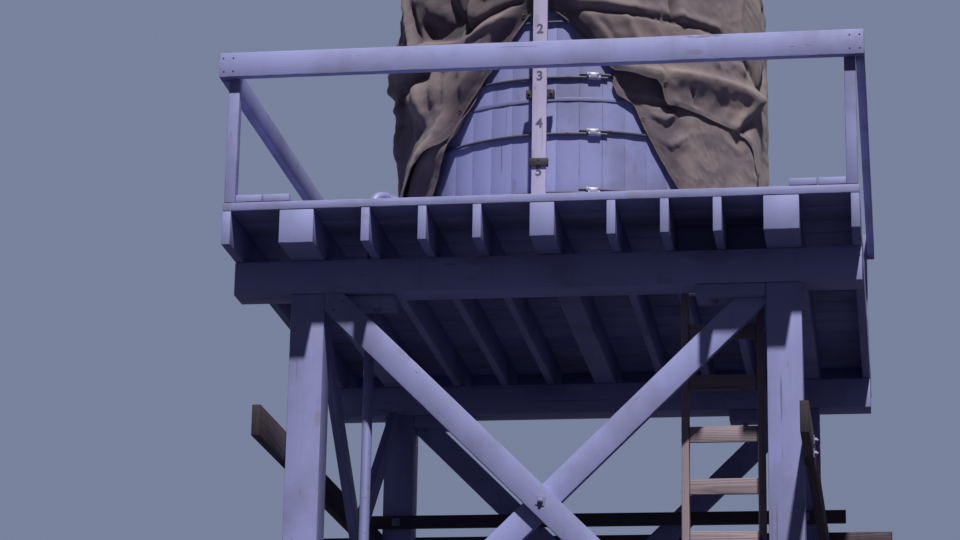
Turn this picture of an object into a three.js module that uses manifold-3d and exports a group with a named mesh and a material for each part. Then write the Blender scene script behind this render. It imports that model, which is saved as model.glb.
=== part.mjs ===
// A timber water tower: a stave tank on a railed deck, carried by four braced posts
// Millimetres, +Z up, ground at z = 0, the front faces -Y

import * as THREE from 'three';
import { mergeVertices } from 'three/addons/utils/BufferGeometryUtils.js';
import Module from 'manifold-3d';

const wasm = await Module();
wasm.setup();

// Gap between pieces that rest on each other
const seat = 0.3;

// Lumber sections
const heavy = 203;
const plank = 51;
const joistDepth = 203;
const braceWidth = 152;
const middleBeamWidth = 143;

// Platform
const deckUnder = 6500;
const deckThick = 51;
const deckTop = deckUnder + deckThick;
const deckHalfX = 1830;
const deckHalfY = 1980;
const walkWidth = 320;
const walkThick = 45;

// Posts and girders
const postX = 1383;
const postY = 1521.5;
const girderTop = deckUnder - joistDepth - 2 * seat;
const girderUnder = girderTop - heavy;
const postTop = girderUnder - seat;
const bolsterThick = 75;
const bolsterInner = 880;

// Places of the beams and joists along X
const heavyBeamX = 1390;
const middleBeamX = 36;
const edgeJoistX = 1803;
const joistXs = [-986, -655, -338, 430, 733];
const hatchJoistX = 1031;

// Ladder hatch in the deck, between a thin joist and the right beam
const hatchLeft = joistXs[4] + plank / 2 + 5;
const hatchRight = heavyBeamX - heavy / 2 - 5;
const hatchFront = -deckHalfY + 620;
const hatchBack = hatchFront + 650;

// Bracing tiers
const tierHeight = 2504;
const tieDepth = 152;
const upperTierBottom = postTop - tierHeight;
const lowerTierTop = upperTierBottom - tieDepth;
const lowerTierBottom = lowerTierTop - tierHeight;
const clearX = 2 * postX - heavy;
const clearY = 2 * postY - heavy;

// Side planks and back bars
const leftPlankTop = deckUnder - 1226;
const rightPlankTop = deckUnder - 1262;
const sidePlankDepth = 178;
const sidePlankFront = -deckHalfY - 288;
const backBarDepth = 89;
const upperBarTop = deckUnder - 1112;
const lowerBarTop = deckUnder - 1215;
const upperBarHalf = 1650;
const lowerBarHalf = 1950;

// Railing
const railPostSide = 66;
const railPostX = 1789;
const railTop = deckUnder + 960;
const railDepth = 152;

// Tank
const tankRadius = 1070;
const staveThick = 45;
const chimeJoist = 102;
const chimeJoistXs = [-800, -400, 0, 400, 800];
const tankBottom = deckTop + chimeJoist - 30;
const tankRim = deckTop + 2050;
const floorThick = 57;
const roofRadius = 1100;
const roofRise = 340;
const roofThick = 24;
const hoopRod = 19;
const hoopHeights = [307, 682, 1046, 1410, 1760];
const lugAngle = 12;

// Canvas cover
const canvasInner = 1165;
const canvasThick = 22;
const canvasHem = deckTop + 25;
const canvasFlareEnd = deckTop + 1050;

// Gauge
const gaugeX = -88;
const gaugeFront = -deckHalfY + 770;
const gaugeWidth = 89;
const gaugeThick = 25;
const gaugeTop = deckTop + 2010;
const bracketHeight = 899;
const indicatorHeight = 449;
const indicatorTall = 50;
const indicatorWall = 12;
const guideGap = 0.8;

// Ladder
const ladderX = 1016;
const ladderWidth = 480;
const ladderFront = hatchFront + seat;
const stringerWide = 44;
const stringerDeep = 89;
const rungTall = 92;
const rungThick = 25;
const topRungTop = deckUnder - 1181 + 3 * 305;
const rungPitch = 305;
const rungCount = 20;

// Riser pipe
const pipeRadius = 30;
const pipeX = -1056;
const pipeY = -1384;
const pipeBranchHeight = deckTop + 205;
const pipeBend = 75;

// Colours
const paint = 0xa3a6c6;
const rawWood = 0xb59a86;
const brownWood = 0x5d4a48;
const galvanised = 0x9b9ba8;
const darkIron = 0x3c3a46;
const canvasCloth = 0x7d7078;
const gaugeWhite = 0xd9d5de;

const tower = new THREE.Group();

function material(color, roughness = 0.8, metalness = 0) {
  return new THREE.MeshStandardMaterial({ color, roughness, metalness });
}

function add(name, geometry, color, roughness, metalness) {
  const mesh = new THREE.Mesh(geometry, material(color, roughness, metalness));
  mesh.name = name;
  tower.add(mesh);
  return mesh;
}

// A box between two corners
function block([x0, y0, z0], [x1, y1, z1]) {
  const geometry = new THREE.BoxGeometry(x1 - x0, y1 - y0, z1 - z0);
  return geometry.translate((x0 + x1) / 2, (y0 + y1) / 2, (z0 + z1) / 2);
}

// A closed outline in X and Z, drawn as a board between two places on Y
function board(points, yFront, yBack) {
  const shape = new THREE.Shape(points.map(([x, z]) => new THREE.Vector2(x, z)));
  const geometry = new THREE.ExtrudeGeometry(shape, { depth: yBack - yFront, bevelEnabled: false });
  return geometry.rotateX(Math.PI / 2).translate(0, yBack, 0);
}

// Booleans through manifold
function toManifold(source) {
  const bare = source.clone();
  bare.deleteAttribute('normal');
  bare.deleteAttribute('uv');
  const merged = mergeVertices(bare, 1e-3);
  return new wasm.Manifold(new wasm.Mesh({
    numProp: 3,
    vertProperties: new Float32Array(merged.attributes.position.array),
    triVerts: new Uint32Array(merged.index.array),
  }));
}

function fromManifold(manifold) {
  const mesh = manifold.getMesh();
  const geometry = new THREE.BufferGeometry();
  geometry.setAttribute('position', new THREE.BufferAttribute(new Float32Array(mesh.vertProperties), 3));
  geometry.setIndex(new THREE.BufferAttribute(new Uint32Array(mesh.triVerts), 1));
  geometry.computeVertexNormals();
  return geometry;
}

function fuse(geometries) {
  return fromManifold(geometries.map(toManifold).reduce((whole, piece) => whole.add(piece)));
}

function cut(geometry, tools) {
  return fromManifold(tools.map(toManifold).reduce((whole, tool) => whole.subtract(tool), toManifold(geometry)));
}

// Posts
function addPosts() {
  for (const [endName, y] of [['front', -postY], ['back', postY]]) {
    for (const [sideName, x] of [['left', -postX], ['right', postX]]) {
      const post = block([x - heavy / 2, y - heavy / 2, 0], [x + heavy / 2, y + heavy / 2, postTop]);
      add(`post_${endName}_${sideName}`, post, paint);
    }
  }
}

// Girders, each with a short bolster inside either post: the one where the outer brace ends is set back
function addGirders() {
  const postInner = postX - heavy / 2 - seat;
  for (const [name, turn] of [['girder_front', 0], ['girder_back', Math.PI]]) {
    const front = -postY - heavy / 2;
    const back = -postY + heavy / 2;
    const low = girderUnder - bolsterThick;
    const pieces = [
      block([-deckHalfX, front, girderUnder], [deckHalfX, back, girderTop]),
      block([-postInner, front + plank + seat, low], [-bolsterInner, back, girderUnder + 1]),
      block([bolsterInner, front, low], [postInner, back, girderUnder + 1]),
    ];
    add(name, fuse(pieces).rotateZ(turn), paint);
  }
}

// Beams and joists along Y, open at the front and closed at the back by a rim board across their ends
function joistBlock(x, width, y0 = -deckHalfY, y1 = deckHalfY - plank - seat) {
  const low = girderTop + seat;
  return block([x - width / 2, y0, low], [x + width / 2, y1, low + joistDepth]);
}

function addJoists() {
  add('beam_left', joistBlock(-heavyBeamX, heavy), paint);
  add('beam_middle', joistBlock(middleBeamX, middleBeamWidth), paint);
  add('beam_right', joistBlock(heavyBeamX, heavy), paint);
  add('edge_joist_left', joistBlock(-edgeJoistX, plank), paint);
  add('edge_joist_right', joistBlock(edgeJoistX, plank), paint);
  joistXs.forEach((x, i) => add(`joist_${i + 1}`, joistBlock(x, plank), paint));
  const low = girderTop + seat;
  add('rim_back', block([-deckHalfX, deckHalfY - plank, low], [deckHalfX, deckHalfY, low + joistDepth]), paint);
}

// The joist that the hatch interrupts, as a stub and a rest, each with its header
function addHatchFraming() {
  const low = girderTop + seat;
  const headerLeft = joistXs[4] + plank / 2 + seat;
  const headerRight = heavyBeamX - heavy / 2 - seat;
  const header = (y0, y1) => block([headerLeft, y0, low], [headerRight, y1, low + joistDepth]);
  const front = [joistBlock(hatchJoistX, plank, -deckHalfY, hatchFront - 1), header(hatchFront - plank, hatchFront)];
  const back = [joistBlock(hatchJoistX, plank, hatchBack + 1), header(hatchBack, hatchBack + plank)];
  add('hatch_framing_front', fuse(front), paint);
  add('hatch_framing_back', fuse(back), paint);
}

// Deck with the hatch and the pipe hole, and the raised board walks on it
function addDeck() {
  const outline = new THREE.Shape([
    new THREE.Vector2(-deckHalfX, -deckHalfY), new THREE.Vector2(deckHalfX, -deckHalfY),
    new THREE.Vector2(deckHalfX, deckHalfY), new THREE.Vector2(-deckHalfX, deckHalfY),
  ]);
  outline.holes.push(new THREE.Path([
    new THREE.Vector2(hatchLeft, hatchFront), new THREE.Vector2(hatchLeft, hatchBack),
    new THREE.Vector2(hatchRight, hatchBack), new THREE.Vector2(hatchRight, hatchFront),
  ]));
  outline.holes.push(new THREE.Path().absarc(pipeX, pipeY, pipeRadius + 1, 0, 2 * Math.PI, true));
  const settings = { depth: deckThick, bevelEnabled: false, curveSegments: 24 };
  add('deck', new THREE.ExtrudeGeometry(outline, settings).translate(0, 0, deckUnder), paint);

  const walkOuter = railPostX - railPostSide / 2 - seat;
  for (const [name, side] of [['walk_left', -1], ['walk_right', 1]]) {
    const xs = [side * walkOuter, side * (walkOuter - walkWidth)].sort((a, b) => a - b);
    const low = deckTop + seat;
    add(name, block([xs[0], -deckHalfY, low], [xs[1], deckHalfY, low + walkThick]), paint);
  }
}

// Railing: a panel at each side, and a rail nailed across them in front and at the back
function addRailing() {
  const low = deckTop + seat;
  const outer = railPostX + railPostSide / 2;
  const inner = railPostX - railPostSide / 2;
  for (const [name, side] of [['railing_left', -1], ['railing_right', 1]]) {
    const span = (x0, x1) => (side < 0 ? [-x1, -x0] : [x0, x1]);
    const [postLeft, postRight] = span(inner, outer);
    const [railLeft, railRight] = span(outer - 1, outer + plank);
    const pieces = [
      block([postLeft, -deckHalfY, low], [postRight, -deckHalfY + railPostSide, railTop]),
      block([postLeft, deckHalfY - railPostSide, low], [postRight, deckHalfY, railTop]),
      block([railLeft, -deckHalfY, railTop - railDepth], [railRight, deckHalfY, railTop]),
    ];
    add(name, fuse(pieces), paint);
  }
  const half = outer + plank;
  const near = deckHalfY + seat;
  const z0 = railTop - railDepth;
  add('rail_front', block([-half, -near - plank, z0], [half, -near, railTop]), paint);
  add('rail_back', block([-half, near, z0], [half, near + plank, railTop]), paint);
}

// Outline of a diagonal board in a clear bay, from its lower left to its upper right corner
function diagonal(width, height, topCut) {
  const angle = Math.atan2(height, width);
  const alongX = braceWidth / 2 / Math.sin(angle);
  const alongZ = braceWidth / 2 / Math.cos(angle);
  return [
    [-width / 2, 0],
    [-width / 2 + alongX, 0],
    [width / 2, height - alongZ],
    [width / 2, height - topCut],
    [width / 2 - alongX - topCut / Math.tan(angle), height - topCut],
    [-width / 2, alongZ],
  ];
}

function mirrored(points) {
  return points.map(([x, z]) => [-x, z]).reverse();
}

// The four sides, each seen from outside: clear width, distance of the outer brace's face, and turn
const sides = [
  { name: 'front', clear: clearX, face: postY + heavy / 2, turn: 0 },
  { name: 'back', clear: clearX, face: postY + heavy / 2, turn: Math.PI },
  { name: 'left', clear: clearY, face: postX + plank, turn: -Math.PI / 2 },
  { name: 'right', clear: clearY, face: postX + plank, turn: Math.PI / 2 },
];

function addUpperBraces() {
  for (const { name, clear, face, turn } of sides) {
    const width = clear - 2 * seat;
    const underBolster = name === 'front' || name === 'back' ? bolsterThick + seat : 0;
    const outer = board(mirrored(diagonal(width, tierHeight - seat, 0)), -face, -face + plank);
    const inner = board(diagonal(width, tierHeight - seat, underBolster), -face + plank + seat, -face + 2 * plank);
    for (const [label, geometry] of [['outer', outer], ['inner', inner]]) {
      geometry.translate(0, 0, upperTierBottom).rotateZ(turn);
      add(`brace_${name}_${label}`, geometry, paint);
    }
  }
}

// Lower tier: both diagonals and the tie above them in one piece
function addLowerBraces() {
  for (const { name, clear, face, turn } of sides) {
    const width = clear - 2 * seat;
    const height = tierHeight + 1;
    const pieces = [
      board(mirrored(diagonal(width, height, 0)), -face, -face + plank).translate(0, 0, lowerTierBottom),
      board(diagonal(width, height, 0), -face + plank - 1, -face + 2 * plank).translate(0, 0, lowerTierBottom),
      block([-width / 2, -face, lowerTierTop], [width / 2, -face + plank, upperTierBottom - seat]),
    ];
    add(`brace_lower_${name}`, fuse(pieces).rotateZ(turn), paint);
  }
}

// Unpainted planks nailed to the outside of the posts, and thin bars across the back
function addPlanksAndBars() {
  const near = postX + heavy / 2 + seat;
  const back = postY + heavy / 2;
  const sidePlank = (x, top) => block([x, sidePlankFront, top - sidePlankDepth], [x + plank, back, top]);
  add('side_plank_left', sidePlank(-near - plank, leftPlankTop), brownWood);
  add('side_plank_right', sidePlank(near, rightPlankTop), brownWood);

  const inside = postY - heavy / 2 - seat;
  const outside = postY + heavy / 2 + seat;
  const upper = block([-upperBarHalf, inside - 38, upperBarTop - backBarDepth], [upperBarHalf, inside, upperBarTop]);
  const lower = block([-lowerBarHalf, outside, lowerBarTop - backBarDepth], [lowerBarHalf, outside + 38, lowerBarTop]);
  add('back_bar_upper', upper, brownWood);
  add('back_bar_lower', lower, brownWood);
}

// Tank: wall, floor on chime joists, and roof
function lathe(points, segments = 72) {
  const profile = points.map(([r, z]) => new THREE.Vector2(r, z));
  return new THREE.LatheGeometry(profile, segments).rotateX(Math.PI / 2);
}

function addTank() {
  const inner = tankRadius - staveThick;
  const wall = lathe([
    [inner, tankBottom], [tankRadius, tankBottom], [tankRadius, tankRim], [inner, tankRim], [inner, tankBottom],
  ]);
  add('tank_wall', wall, paint, 0.85);

  const floorUnder = deckTop + seat + chimeJoist;
  const floorRadius = inner - 1;
  const joists = chimeJoistXs.map((x) => {
    const reach = Math.sqrt((inner - 20) ** 2 - (Math.abs(x) + chimeJoist / 2) ** 2);
    const low = deckTop + seat;
    return block([x - chimeJoist / 2, -reach, low], [x + chimeJoist / 2, reach, floorUnder + 1]);
  });
  const disc = lathe([[0, floorUnder], [floorRadius, floorUnder], [floorRadius, floorUnder + floorThick],
    [0, floorUnder + floorThick]]);
  add('tank_floor', fuse([disc, ...joists]), rawWood, 0.9);

  const eaves = tankRim + seat;
  const roof = lathe([
    [0, eaves], [roofRadius, eaves], [roofRadius, eaves + roofThick], [0, eaves + roofThick + roofRise],
  ]);
  const inside = lathe([
    [0, eaves - 1], [inner - 15, eaves - 1], [inner - 15, eaves + roofThick / 2],
    [0, eaves + roofRise],
  ]);
  add('tank_roof', cut(roof, [inside]), paint, 0.85);
}

// Hoops: a rod bent round the staves, with a lug where its ends meet
function ring(rOuter, rInner, z0, z1) {
  return lathe([[rInner, z0], [rOuter, z0], [rOuter, z1], [rInner, z1], [rInner, z0]]);
}

function hoopRing(z) {
  const centre = tankRadius + seat * 2 + hoopRod / 2;
  const points = [];
  for (let i = 0; i <= 8; i += 1) {
    const angle = (2 * Math.PI * i) / 8;
    points.push([centre + (hoopRod / 2) * Math.cos(angle), z + (hoopRod / 2) * Math.sin(angle)]);
  }
  return lathe(points);
}

function addHoops() {
  hoopHeights.forEach((height, i) => {
    const z = deckTop + height;
    const near = tankRadius + 2;
    const lug = block([-45, -near - hoopRod - 8, z - 17], [45, -near, z + 17]);
    lug.rotateZ((lugAngle * Math.PI) / 180);
    add(`hoop_${i + 1}`, fuse([hoopRing(z), lug]), galvanised, 0.6, 0.5);
  });
}

// Canvas cover: lies on the roof, flares out below its edge, hangs, and is drawn aside in front
function addCanvas() {
  const outer = canvasInner + canvasThick;
  const eaves = tankRim + seat;
  const edgeTop = eaves + roofThick + seat;
  const neck = roofRadius + seat;
  const cover = lathe([
    [canvasInner, canvasHem], [outer, canvasHem], [outer, canvasFlareEnd], [neck + canvasThick, eaves],
    [neck, edgeTop + canvasThick], [0, edgeTop + roofRise + canvasThick], [0, edgeTop + roofRise],
    [neck, edgeTop], [neck, eaves], [canvasInner, canvasFlareEnd], [canvasInner, canvasHem],
  ]);
  const opening = [
    [-926, -50], [-820, 407], [-545, 945], [-258, 1252], [-98, 1510], [147, 1228], [400, 885], [705, 343], [826, -50],
  ].reverse();
  const wedge = board(opening, -1300, -300).translate(0, 0, deckTop);
  add('canvas_cover', cut(cover, [wedge]), canvasCloth, 0.95);
}

// Gauge board on the deck, its bracket and strap on the tank, and the sliding indicator
function addGauge() {
  const left = gaugeX - gaugeWidth / 2;
  const right = gaugeX + gaugeWidth / 2;
  const back = gaugeFront + gaugeThick;
  add('gauge_board', block([left, gaugeFront, deckTop + seat], [right, back, gaugeTop]), gaugeWhite);

  const bracketZ = deckTop + bracketHeight;
  const bracketBack = -Math.sqrt(tankRadius ** 2 - (Math.abs(gaugeX) + 80) ** 2) - 8;
  const bracket = block([gaugeX - 80, back + seat, bracketZ - 25], [gaugeX + 80, bracketBack + 40, bracketZ + 25]);
  const clearOfTank = ring(tankRadius + 4 + seat, 600, bracketZ - 60, bracketZ + 60);
  add('gauge_bracket', cut(bracket, [clearOfTank]), darkIron, 0.7);
  add('gauge_strap', ring(tankRadius + 4, tankRadius + 2 * seat, bracketZ - 12, bracketZ + 12), galvanised, 0.6, 0.4);

  const z0 = deckTop + indicatorHeight - indicatorTall / 2;
  const z1 = z0 + indicatorTall;
  const outerLeft = left - guideGap - indicatorWall;
  const outerRight = right + guideGap + indicatorWall;
  const plateBack = gaugeFront - guideGap;
  const cheekBack = back - 5;
  const plate = block([outerLeft, plateBack - indicatorWall, z0], [outerRight, plateBack, z1]);
  const cheekLeft = block([outerLeft, plateBack + seat, z0], [left - guideGap, cheekBack, z1]);
  const cheekRight = block([right + guideGap, plateBack + seat, z0], [outerRight, cheekBack, z1]);
  add('indicator_plate', plate, darkIron, 0.7);
  add('indicator_cheek_left', cheekLeft, darkIron, 0.7);
  add('indicator_cheek_right', cheekRight, darkIron, 0.7);
}

// Ladder: two stringers from the ground to the hatch, with flat rungs let into their faces
function addLadder() {
  const half = ladderWidth / 2;
  const back = ladderFront + stringerDeep;
  const pieces = [
    block([ladderX - half, ladderFront, 0], [ladderX - half + stringerWide, back, deckTop]),
    block([ladderX + half - stringerWide, ladderFront, 0], [ladderX + half, back, deckTop]),
  ];
  for (let i = 0; i < rungCount; i += 1) {
    const top = topRungTop - i * rungPitch;
    const inset = stringerWide - 2;
    pieces.push(block([ladderX - half + inset, ladderFront + 4, top - rungTall],
      [ladderX + half - inset, ladderFront + 4 + rungThick, top]));
  }
  add('ladder', fuse(pieces), rawWood, 0.85);
}

// Riser pipe through the deck, and its branch to the tank
function addPipe() {
  const top = pipeBranchHeight - pipeBend;
  const riser = new THREE.CylinderGeometry(pipeRadius, pipeRadius, top, 24).rotateX(Math.PI / 2);
  add('riser_pipe', riser.translate(pipeX, pipeY, top / 2), paint, 0.6, 0.2);

  const reach = Math.hypot(pipeX, pipeY);
  const toTank = new THREE.Vector2(-pipeX / reach, -pipeY / reach);
  const run = reach - Math.sqrt(tankRadius ** 2 - pipeRadius ** 2) - 1.5;
  const at = (distance, z) => new THREE.Vector3(pipeX + toTank.x * distance, pipeY + toTank.y * distance, z);
  const route = new THREE.CurvePath();
  route.add(new THREE.LineCurve3(at(0, top + seat), at(0, top + 12)));
  const handle = pipeBend * 0.55;
  route.add(new THREE.CubicBezierCurve3(at(0, top + 12), at(0, top + 12 + handle),
    at(pipeBend - handle, pipeBranchHeight + 12), at(pipeBend, pipeBranchHeight + 12)));
  route.add(new THREE.LineCurve3(at(pipeBend, pipeBranchHeight + 12), at(run, pipeBranchHeight + 12)));
  const section = new THREE.Shape().absarc(0, 0, pipeRadius, 0, 2 * Math.PI);
  const branch = new THREE.ExtrudeGeometry(section, { steps: 40, curveSegments: 12, extrudePath: route });
  add('pipe_branch', branch, paint, 0.6, 0.2);
}

addPosts();
addGirders();
addJoists();
addHatchFraming();
addDeck();
addRailing();
addUpperBraces();
addLowerBraces();
addPlanksAndBars();
addTank();
addHoops();
addCanvas();
addGauge();
addLadder();
addPipe();

// The origin lies under the middle of the whole: the side planks reach further than the back rail
const reachFront = -sidePlankFront;
const reachBack = deckHalfY + seat + plank;
tower.position.y = (reachFront - reachBack) / 2;

export default tower;
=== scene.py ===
# %% [markdown]
# A timber water tower: a stave tank under a canvas cover, on a railed deck that four braced posts carry. The
# measured solids come in as a fixed frame. Every piece below is built at the place that the frame gives, so
# nothing is moved to fit afterwards.

# %% The frame and the tools
import math
import random
from contextlib import contextmanager

import bmesh
import bpy
import numpy as np
from mathutils import Matrix, Vector
from mathutils.bvhtree import BVHTree
from mathutils.noise import noise as noise_at


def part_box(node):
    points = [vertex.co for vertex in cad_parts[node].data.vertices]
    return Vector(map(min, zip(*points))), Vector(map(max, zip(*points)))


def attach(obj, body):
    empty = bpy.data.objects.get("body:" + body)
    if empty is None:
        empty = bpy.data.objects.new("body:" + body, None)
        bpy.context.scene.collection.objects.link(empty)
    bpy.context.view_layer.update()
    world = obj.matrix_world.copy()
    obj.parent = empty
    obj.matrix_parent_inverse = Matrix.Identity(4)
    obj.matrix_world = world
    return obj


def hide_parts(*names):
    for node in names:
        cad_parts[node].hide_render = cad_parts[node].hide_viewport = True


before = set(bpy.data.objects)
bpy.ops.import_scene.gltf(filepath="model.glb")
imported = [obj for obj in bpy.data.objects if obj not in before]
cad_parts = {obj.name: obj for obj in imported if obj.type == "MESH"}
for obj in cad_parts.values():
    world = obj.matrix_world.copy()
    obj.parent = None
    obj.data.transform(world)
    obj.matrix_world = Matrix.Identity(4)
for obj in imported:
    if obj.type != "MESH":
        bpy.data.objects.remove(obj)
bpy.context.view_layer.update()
scene = bpy.context.scene
X, Y, Z = Vector((1, 0, 0)), Vector((0, 1, 0)), Vector((0, 0, 1))

deck_low, deck_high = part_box("deck")
wall_low, wall_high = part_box("tank_wall")
axis = (wall_low + wall_high) / 2
tank_radius = (wall_high.x - wall_low.x) / 2
print("frame:", len(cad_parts), "solids; deck top at", round(deck_high.z, 3), "m")

# %% [markdown]
# The photograph was taken from the ground with a long lens, looking up. A camera solved from the deck, posts
# and joists gives the place and the angles below. A turn about the upright axis, a tilt up and a small roll
# are multiplied in that order, because each is then measured the way a photographer would.

# %% Camera
CAMERA_PLACE = (2.009, -16.811, 1.610)
CAMERA_TURN, CAMERA_TILT, CAMERA_ROLL = 0.1541, 0.2887, 0.0178
CAMERA_LENS, SENSOR, FAR = 104.41, 36, 500


def turned(angle, about, size=4):
    return Matrix.Rotation(angle, size, about)


def moved(*place):
    return Matrix.Translation(place[0] if len(place) == 1 else place)


def linked(name, data):
    """A new object with this data, in the scene"""
    made = bpy.data.objects.new(name, data)
    scene.collection.objects.link(made)
    return made


lens = bpy.data.cameras.new("photo_camera")
lens.lens, lens.sensor_width, lens.clip_end = CAMERA_LENS, SENSOR, FAR
camera = linked("photo_camera", lens)
camera.matrix_world = (moved(CAMERA_PLACE) @ turned(CAMERA_TURN, "Z") @ turned(math.pi / 2 + CAMERA_TILT, "X")
                       @ turned(CAMERA_ROLL, "Z"))
scene.camera = camera
print("camera:", CAMERA_LENS, "mm lens,", round((Vector(CAMERA_PLACE) - axis).length, 1), "m from the tank")

# %% [markdown]
# Every finish is made of nodes. A small class keeps them readable: it adds a node and feeds its sockets from
# links or plain values, does sums, turns one range of values into another, and lays colours over each other.

# %% A graph of nodes
class Graph:
    """Adds nodes to one tree"""

    def __init__(self, tree):
        self.tree = tree

    def feed(self, sockets, values):
        for key, value in values.items():
            if isinstance(value, bpy.types.NodeSocket):
                self.tree.links.new(value, sockets[key])
            else:
                sockets[key].default_value = value

    def node(self, kind, values=(), **settings):
        made = self.tree.nodes.new("ShaderNode" + kind)
        for key, value in settings.items():
            setattr(made, key, value)
        self.feed(made.inputs, dict(values))
        return made.outputs

    def calc(self, operation, *values, clamp=False):
        return self.node("Math", enumerate(values), operation=operation, use_clamp=clamp)[0]

    def times(self, first, second, clamp=False):
        return self.calc("MULTIPLY", first, second, clamp=clamp)

    def plus(self, first, second):
        return self.calc("ADD", first, second)

    def less(self, first, second):
        return self.calc("SUBTRACT", first, second)

    def most(self, first, second):
        return self.calc("MAXIMUM", first, second)

    def vector(self, operation, values):
        return self.node("VectorMath", values, operation=operation)[0]

    def stretch(self, vector, scales):
        return self.vector("MULTIPLY", {0: vector, 1: scales})

    def step(self, value, low, high, to_low=0.0, to_high=1.0):
        """Turns one range into another, with soft ends"""
        ends = {"Value": value, "From Min": low, "From Max": high, "To Min": to_low, "To Max": to_high}
        return self.node("MapRange", ends, interpolation_type="SMOOTHSTEP")[0]

    def mix(self, share, first, second):
        return self.node("Mix", {0: share, 6: first, 7: second}, data_type="RGBA")[2]

    def tinted(self, base, *coats):
        """Lays colours over a base, each as far as its mask times its amount"""
        for mask, amount, shade in coats:
            base = self.mix(self.times(mask, amount), base, shade)
        return base

    def noise(self, vector, scale, detail=2, roughness=0.5):
        """A cloudy pattern, drawn out along the axes where three scales are given"""
        if isinstance(scale, tuple):
            vector, scale = self.stretch(vector, scale), 1.0
        values = {"Vector": vector, "Scale": scale, "Detail": detail, "Roughness": roughness}
        return self.node("TexNoise", values)[0]

    def bump(self, strength, distance, height):
        return self.node("Bump", {"Strength": strength, "Distance": distance, "Height": height})[0]


print("a graph can add, feed and sum nodes")

# %% [markdown]
# Patterns that several finishes share become node groups. Colours are given as an eye sees them on a screen,
# and a shader wants them linear, so each goes through the screen's own curve once.

# %% Groups, colours and plain finishes
def new_group(name, **inputs):
    """A node group's graph and its inputs, which are given as name=kind"""
    tree = bpy.data.node_groups.new(name, "ShaderNodeTree")
    for label, kind in inputs.items():
        tree.interface.new_socket(name=label, in_out="INPUT", socket_type="NodeSocket" + kind)
    return Graph(tree), tree.nodes.new("NodeGroupInput").outputs


def give(graph, **results):
    """Makes a group's outputs and feeds them"""
    for label in results:
        graph.tree.interface.new_socket(name=label, in_out="OUTPUT", socket_type="NodeSocketFloat")
    graph.feed(graph.tree.nodes.new("NodeGroupOutput").inputs, results)
    print("group:", graph.tree.name)
    return graph.tree


def colour(red, green, blue):
    """A colour as seen on a screen, 0 to 255, turned into the linear values that a shader takes"""
    shares = (red / 255, green / 255, blue / 255)
    return tuple(c / 12.92 if c <= 0.04045 else ((c + 0.055) / 1.055) ** 2.4 for c in shares) + (1,)


def darker(shade, share):
    return tuple(share * c for c in shade[:3]) + (1,)


def plain(name, shade, roughness):
    """A finish of one colour"""
    made = bpy.data.materials.new(name)
    made.use_nodes = True
    values = {"Base Color": shade, "Roughness": roughness}
    Graph(made.node_tree).feed(made.node_tree.nodes["Principled BSDF"].inputs, values)
    return made


print("white is", colour(255, 255, 255))

# %% [markdown]
# The light is plain studio light: one key, high in front and a little to the right as the sun stands in the
# photograph, a weak fill from behind and an even pale surround. A sun lamp's shadows are alike at every
# height of the tower, which those of an area lamp close by would not be.

# %% Floor and light
FLOOR_SIZE = 240
FLOOR_SEEN, FLOOR_LIT = (0.42, 0.425, 0.44, 1), (0.045, 0.044, 0.06, 1)
SURROUND_SEEN, SURROUND_LIT = (0.19, 0.225, 0.34, 1), (0.05, 0.056, 0.09, 1)


def select_only(*objects):
    """Clears the selection, then selects these and makes the first one active"""
    bpy.ops.object.select_all(action="DESELECT")
    for piece in objects:
        piece.select_set(True)
    bpy.context.view_layer.objects.active = objects[0] if objects else None


def seen_and_lit(tree, end, kind, for_lens, for_light):
    """One colour for the lens and another for the light that spreads"""
    graph = Graph(tree)
    ray = graph.node("LightPath")["Is Camera Ray"]
    shades = [graph.node(kind, {"Color": shade})[0] for shade in (for_light, for_lens)]
    chosen = graph.node("MixShader", {0: ray, 1: shades[0], 2: shades[1]})[0]
    graph.feed(tree.nodes[end].inputs, {"Surface": chosen})


def sun(name, towards, strength, disc, shade):
    lamp = bpy.data.lights.new(name, "SUN")
    lamp.energy, lamp.angle, lamp.color = strength, math.radians(disc), shade
    linked(name, lamp).matrix_world = Vector(towards).to_track_quat("-Z", "Y").to_matrix().to_4x4()


select_only()
bpy.ops.mesh.primitive_plane_add(size=FLOOR_SIZE)
floor = bpy.context.object
floor.name = "studio_floor"
paper = plain("floor_paper", FLOOR_SEEN, 0.9)
seen_and_lit(paper.node_tree, "Material Output", "BsdfDiffuse", FLOOR_SEEN, FLOOR_LIT)
floor.data.materials.append(paper)
sun("key_light", (-0.1, 0.357, -0.6), 4.5, 2, (1.0, 0.98, 0.95))
sun("fill_light", (0.2, -0.9, -0.35), 0.5, 40, (0.9, 0.94, 1.0))
world = bpy.data.worlds.new("studio")
world.use_nodes = True
seen_and_lit(world.node_tree, "World Output", "Background", SURROUND_SEEN, SURROUND_LIT)
scene.world = world
scene.view_settings.view_transform = "Standard"
print("light: key, fill and surround")

# %% [markdown]
# Sawn timber has growth rings, fine fibres, drying checks and knots. All run along the board, so the pattern
# can't follow the world's axes on a tower full of diagonals. Each board carries its own measure, along,
# across and through, and the group reads that. Rings round the board's heart show as lines on its faces and
# arcs on its ends.

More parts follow.
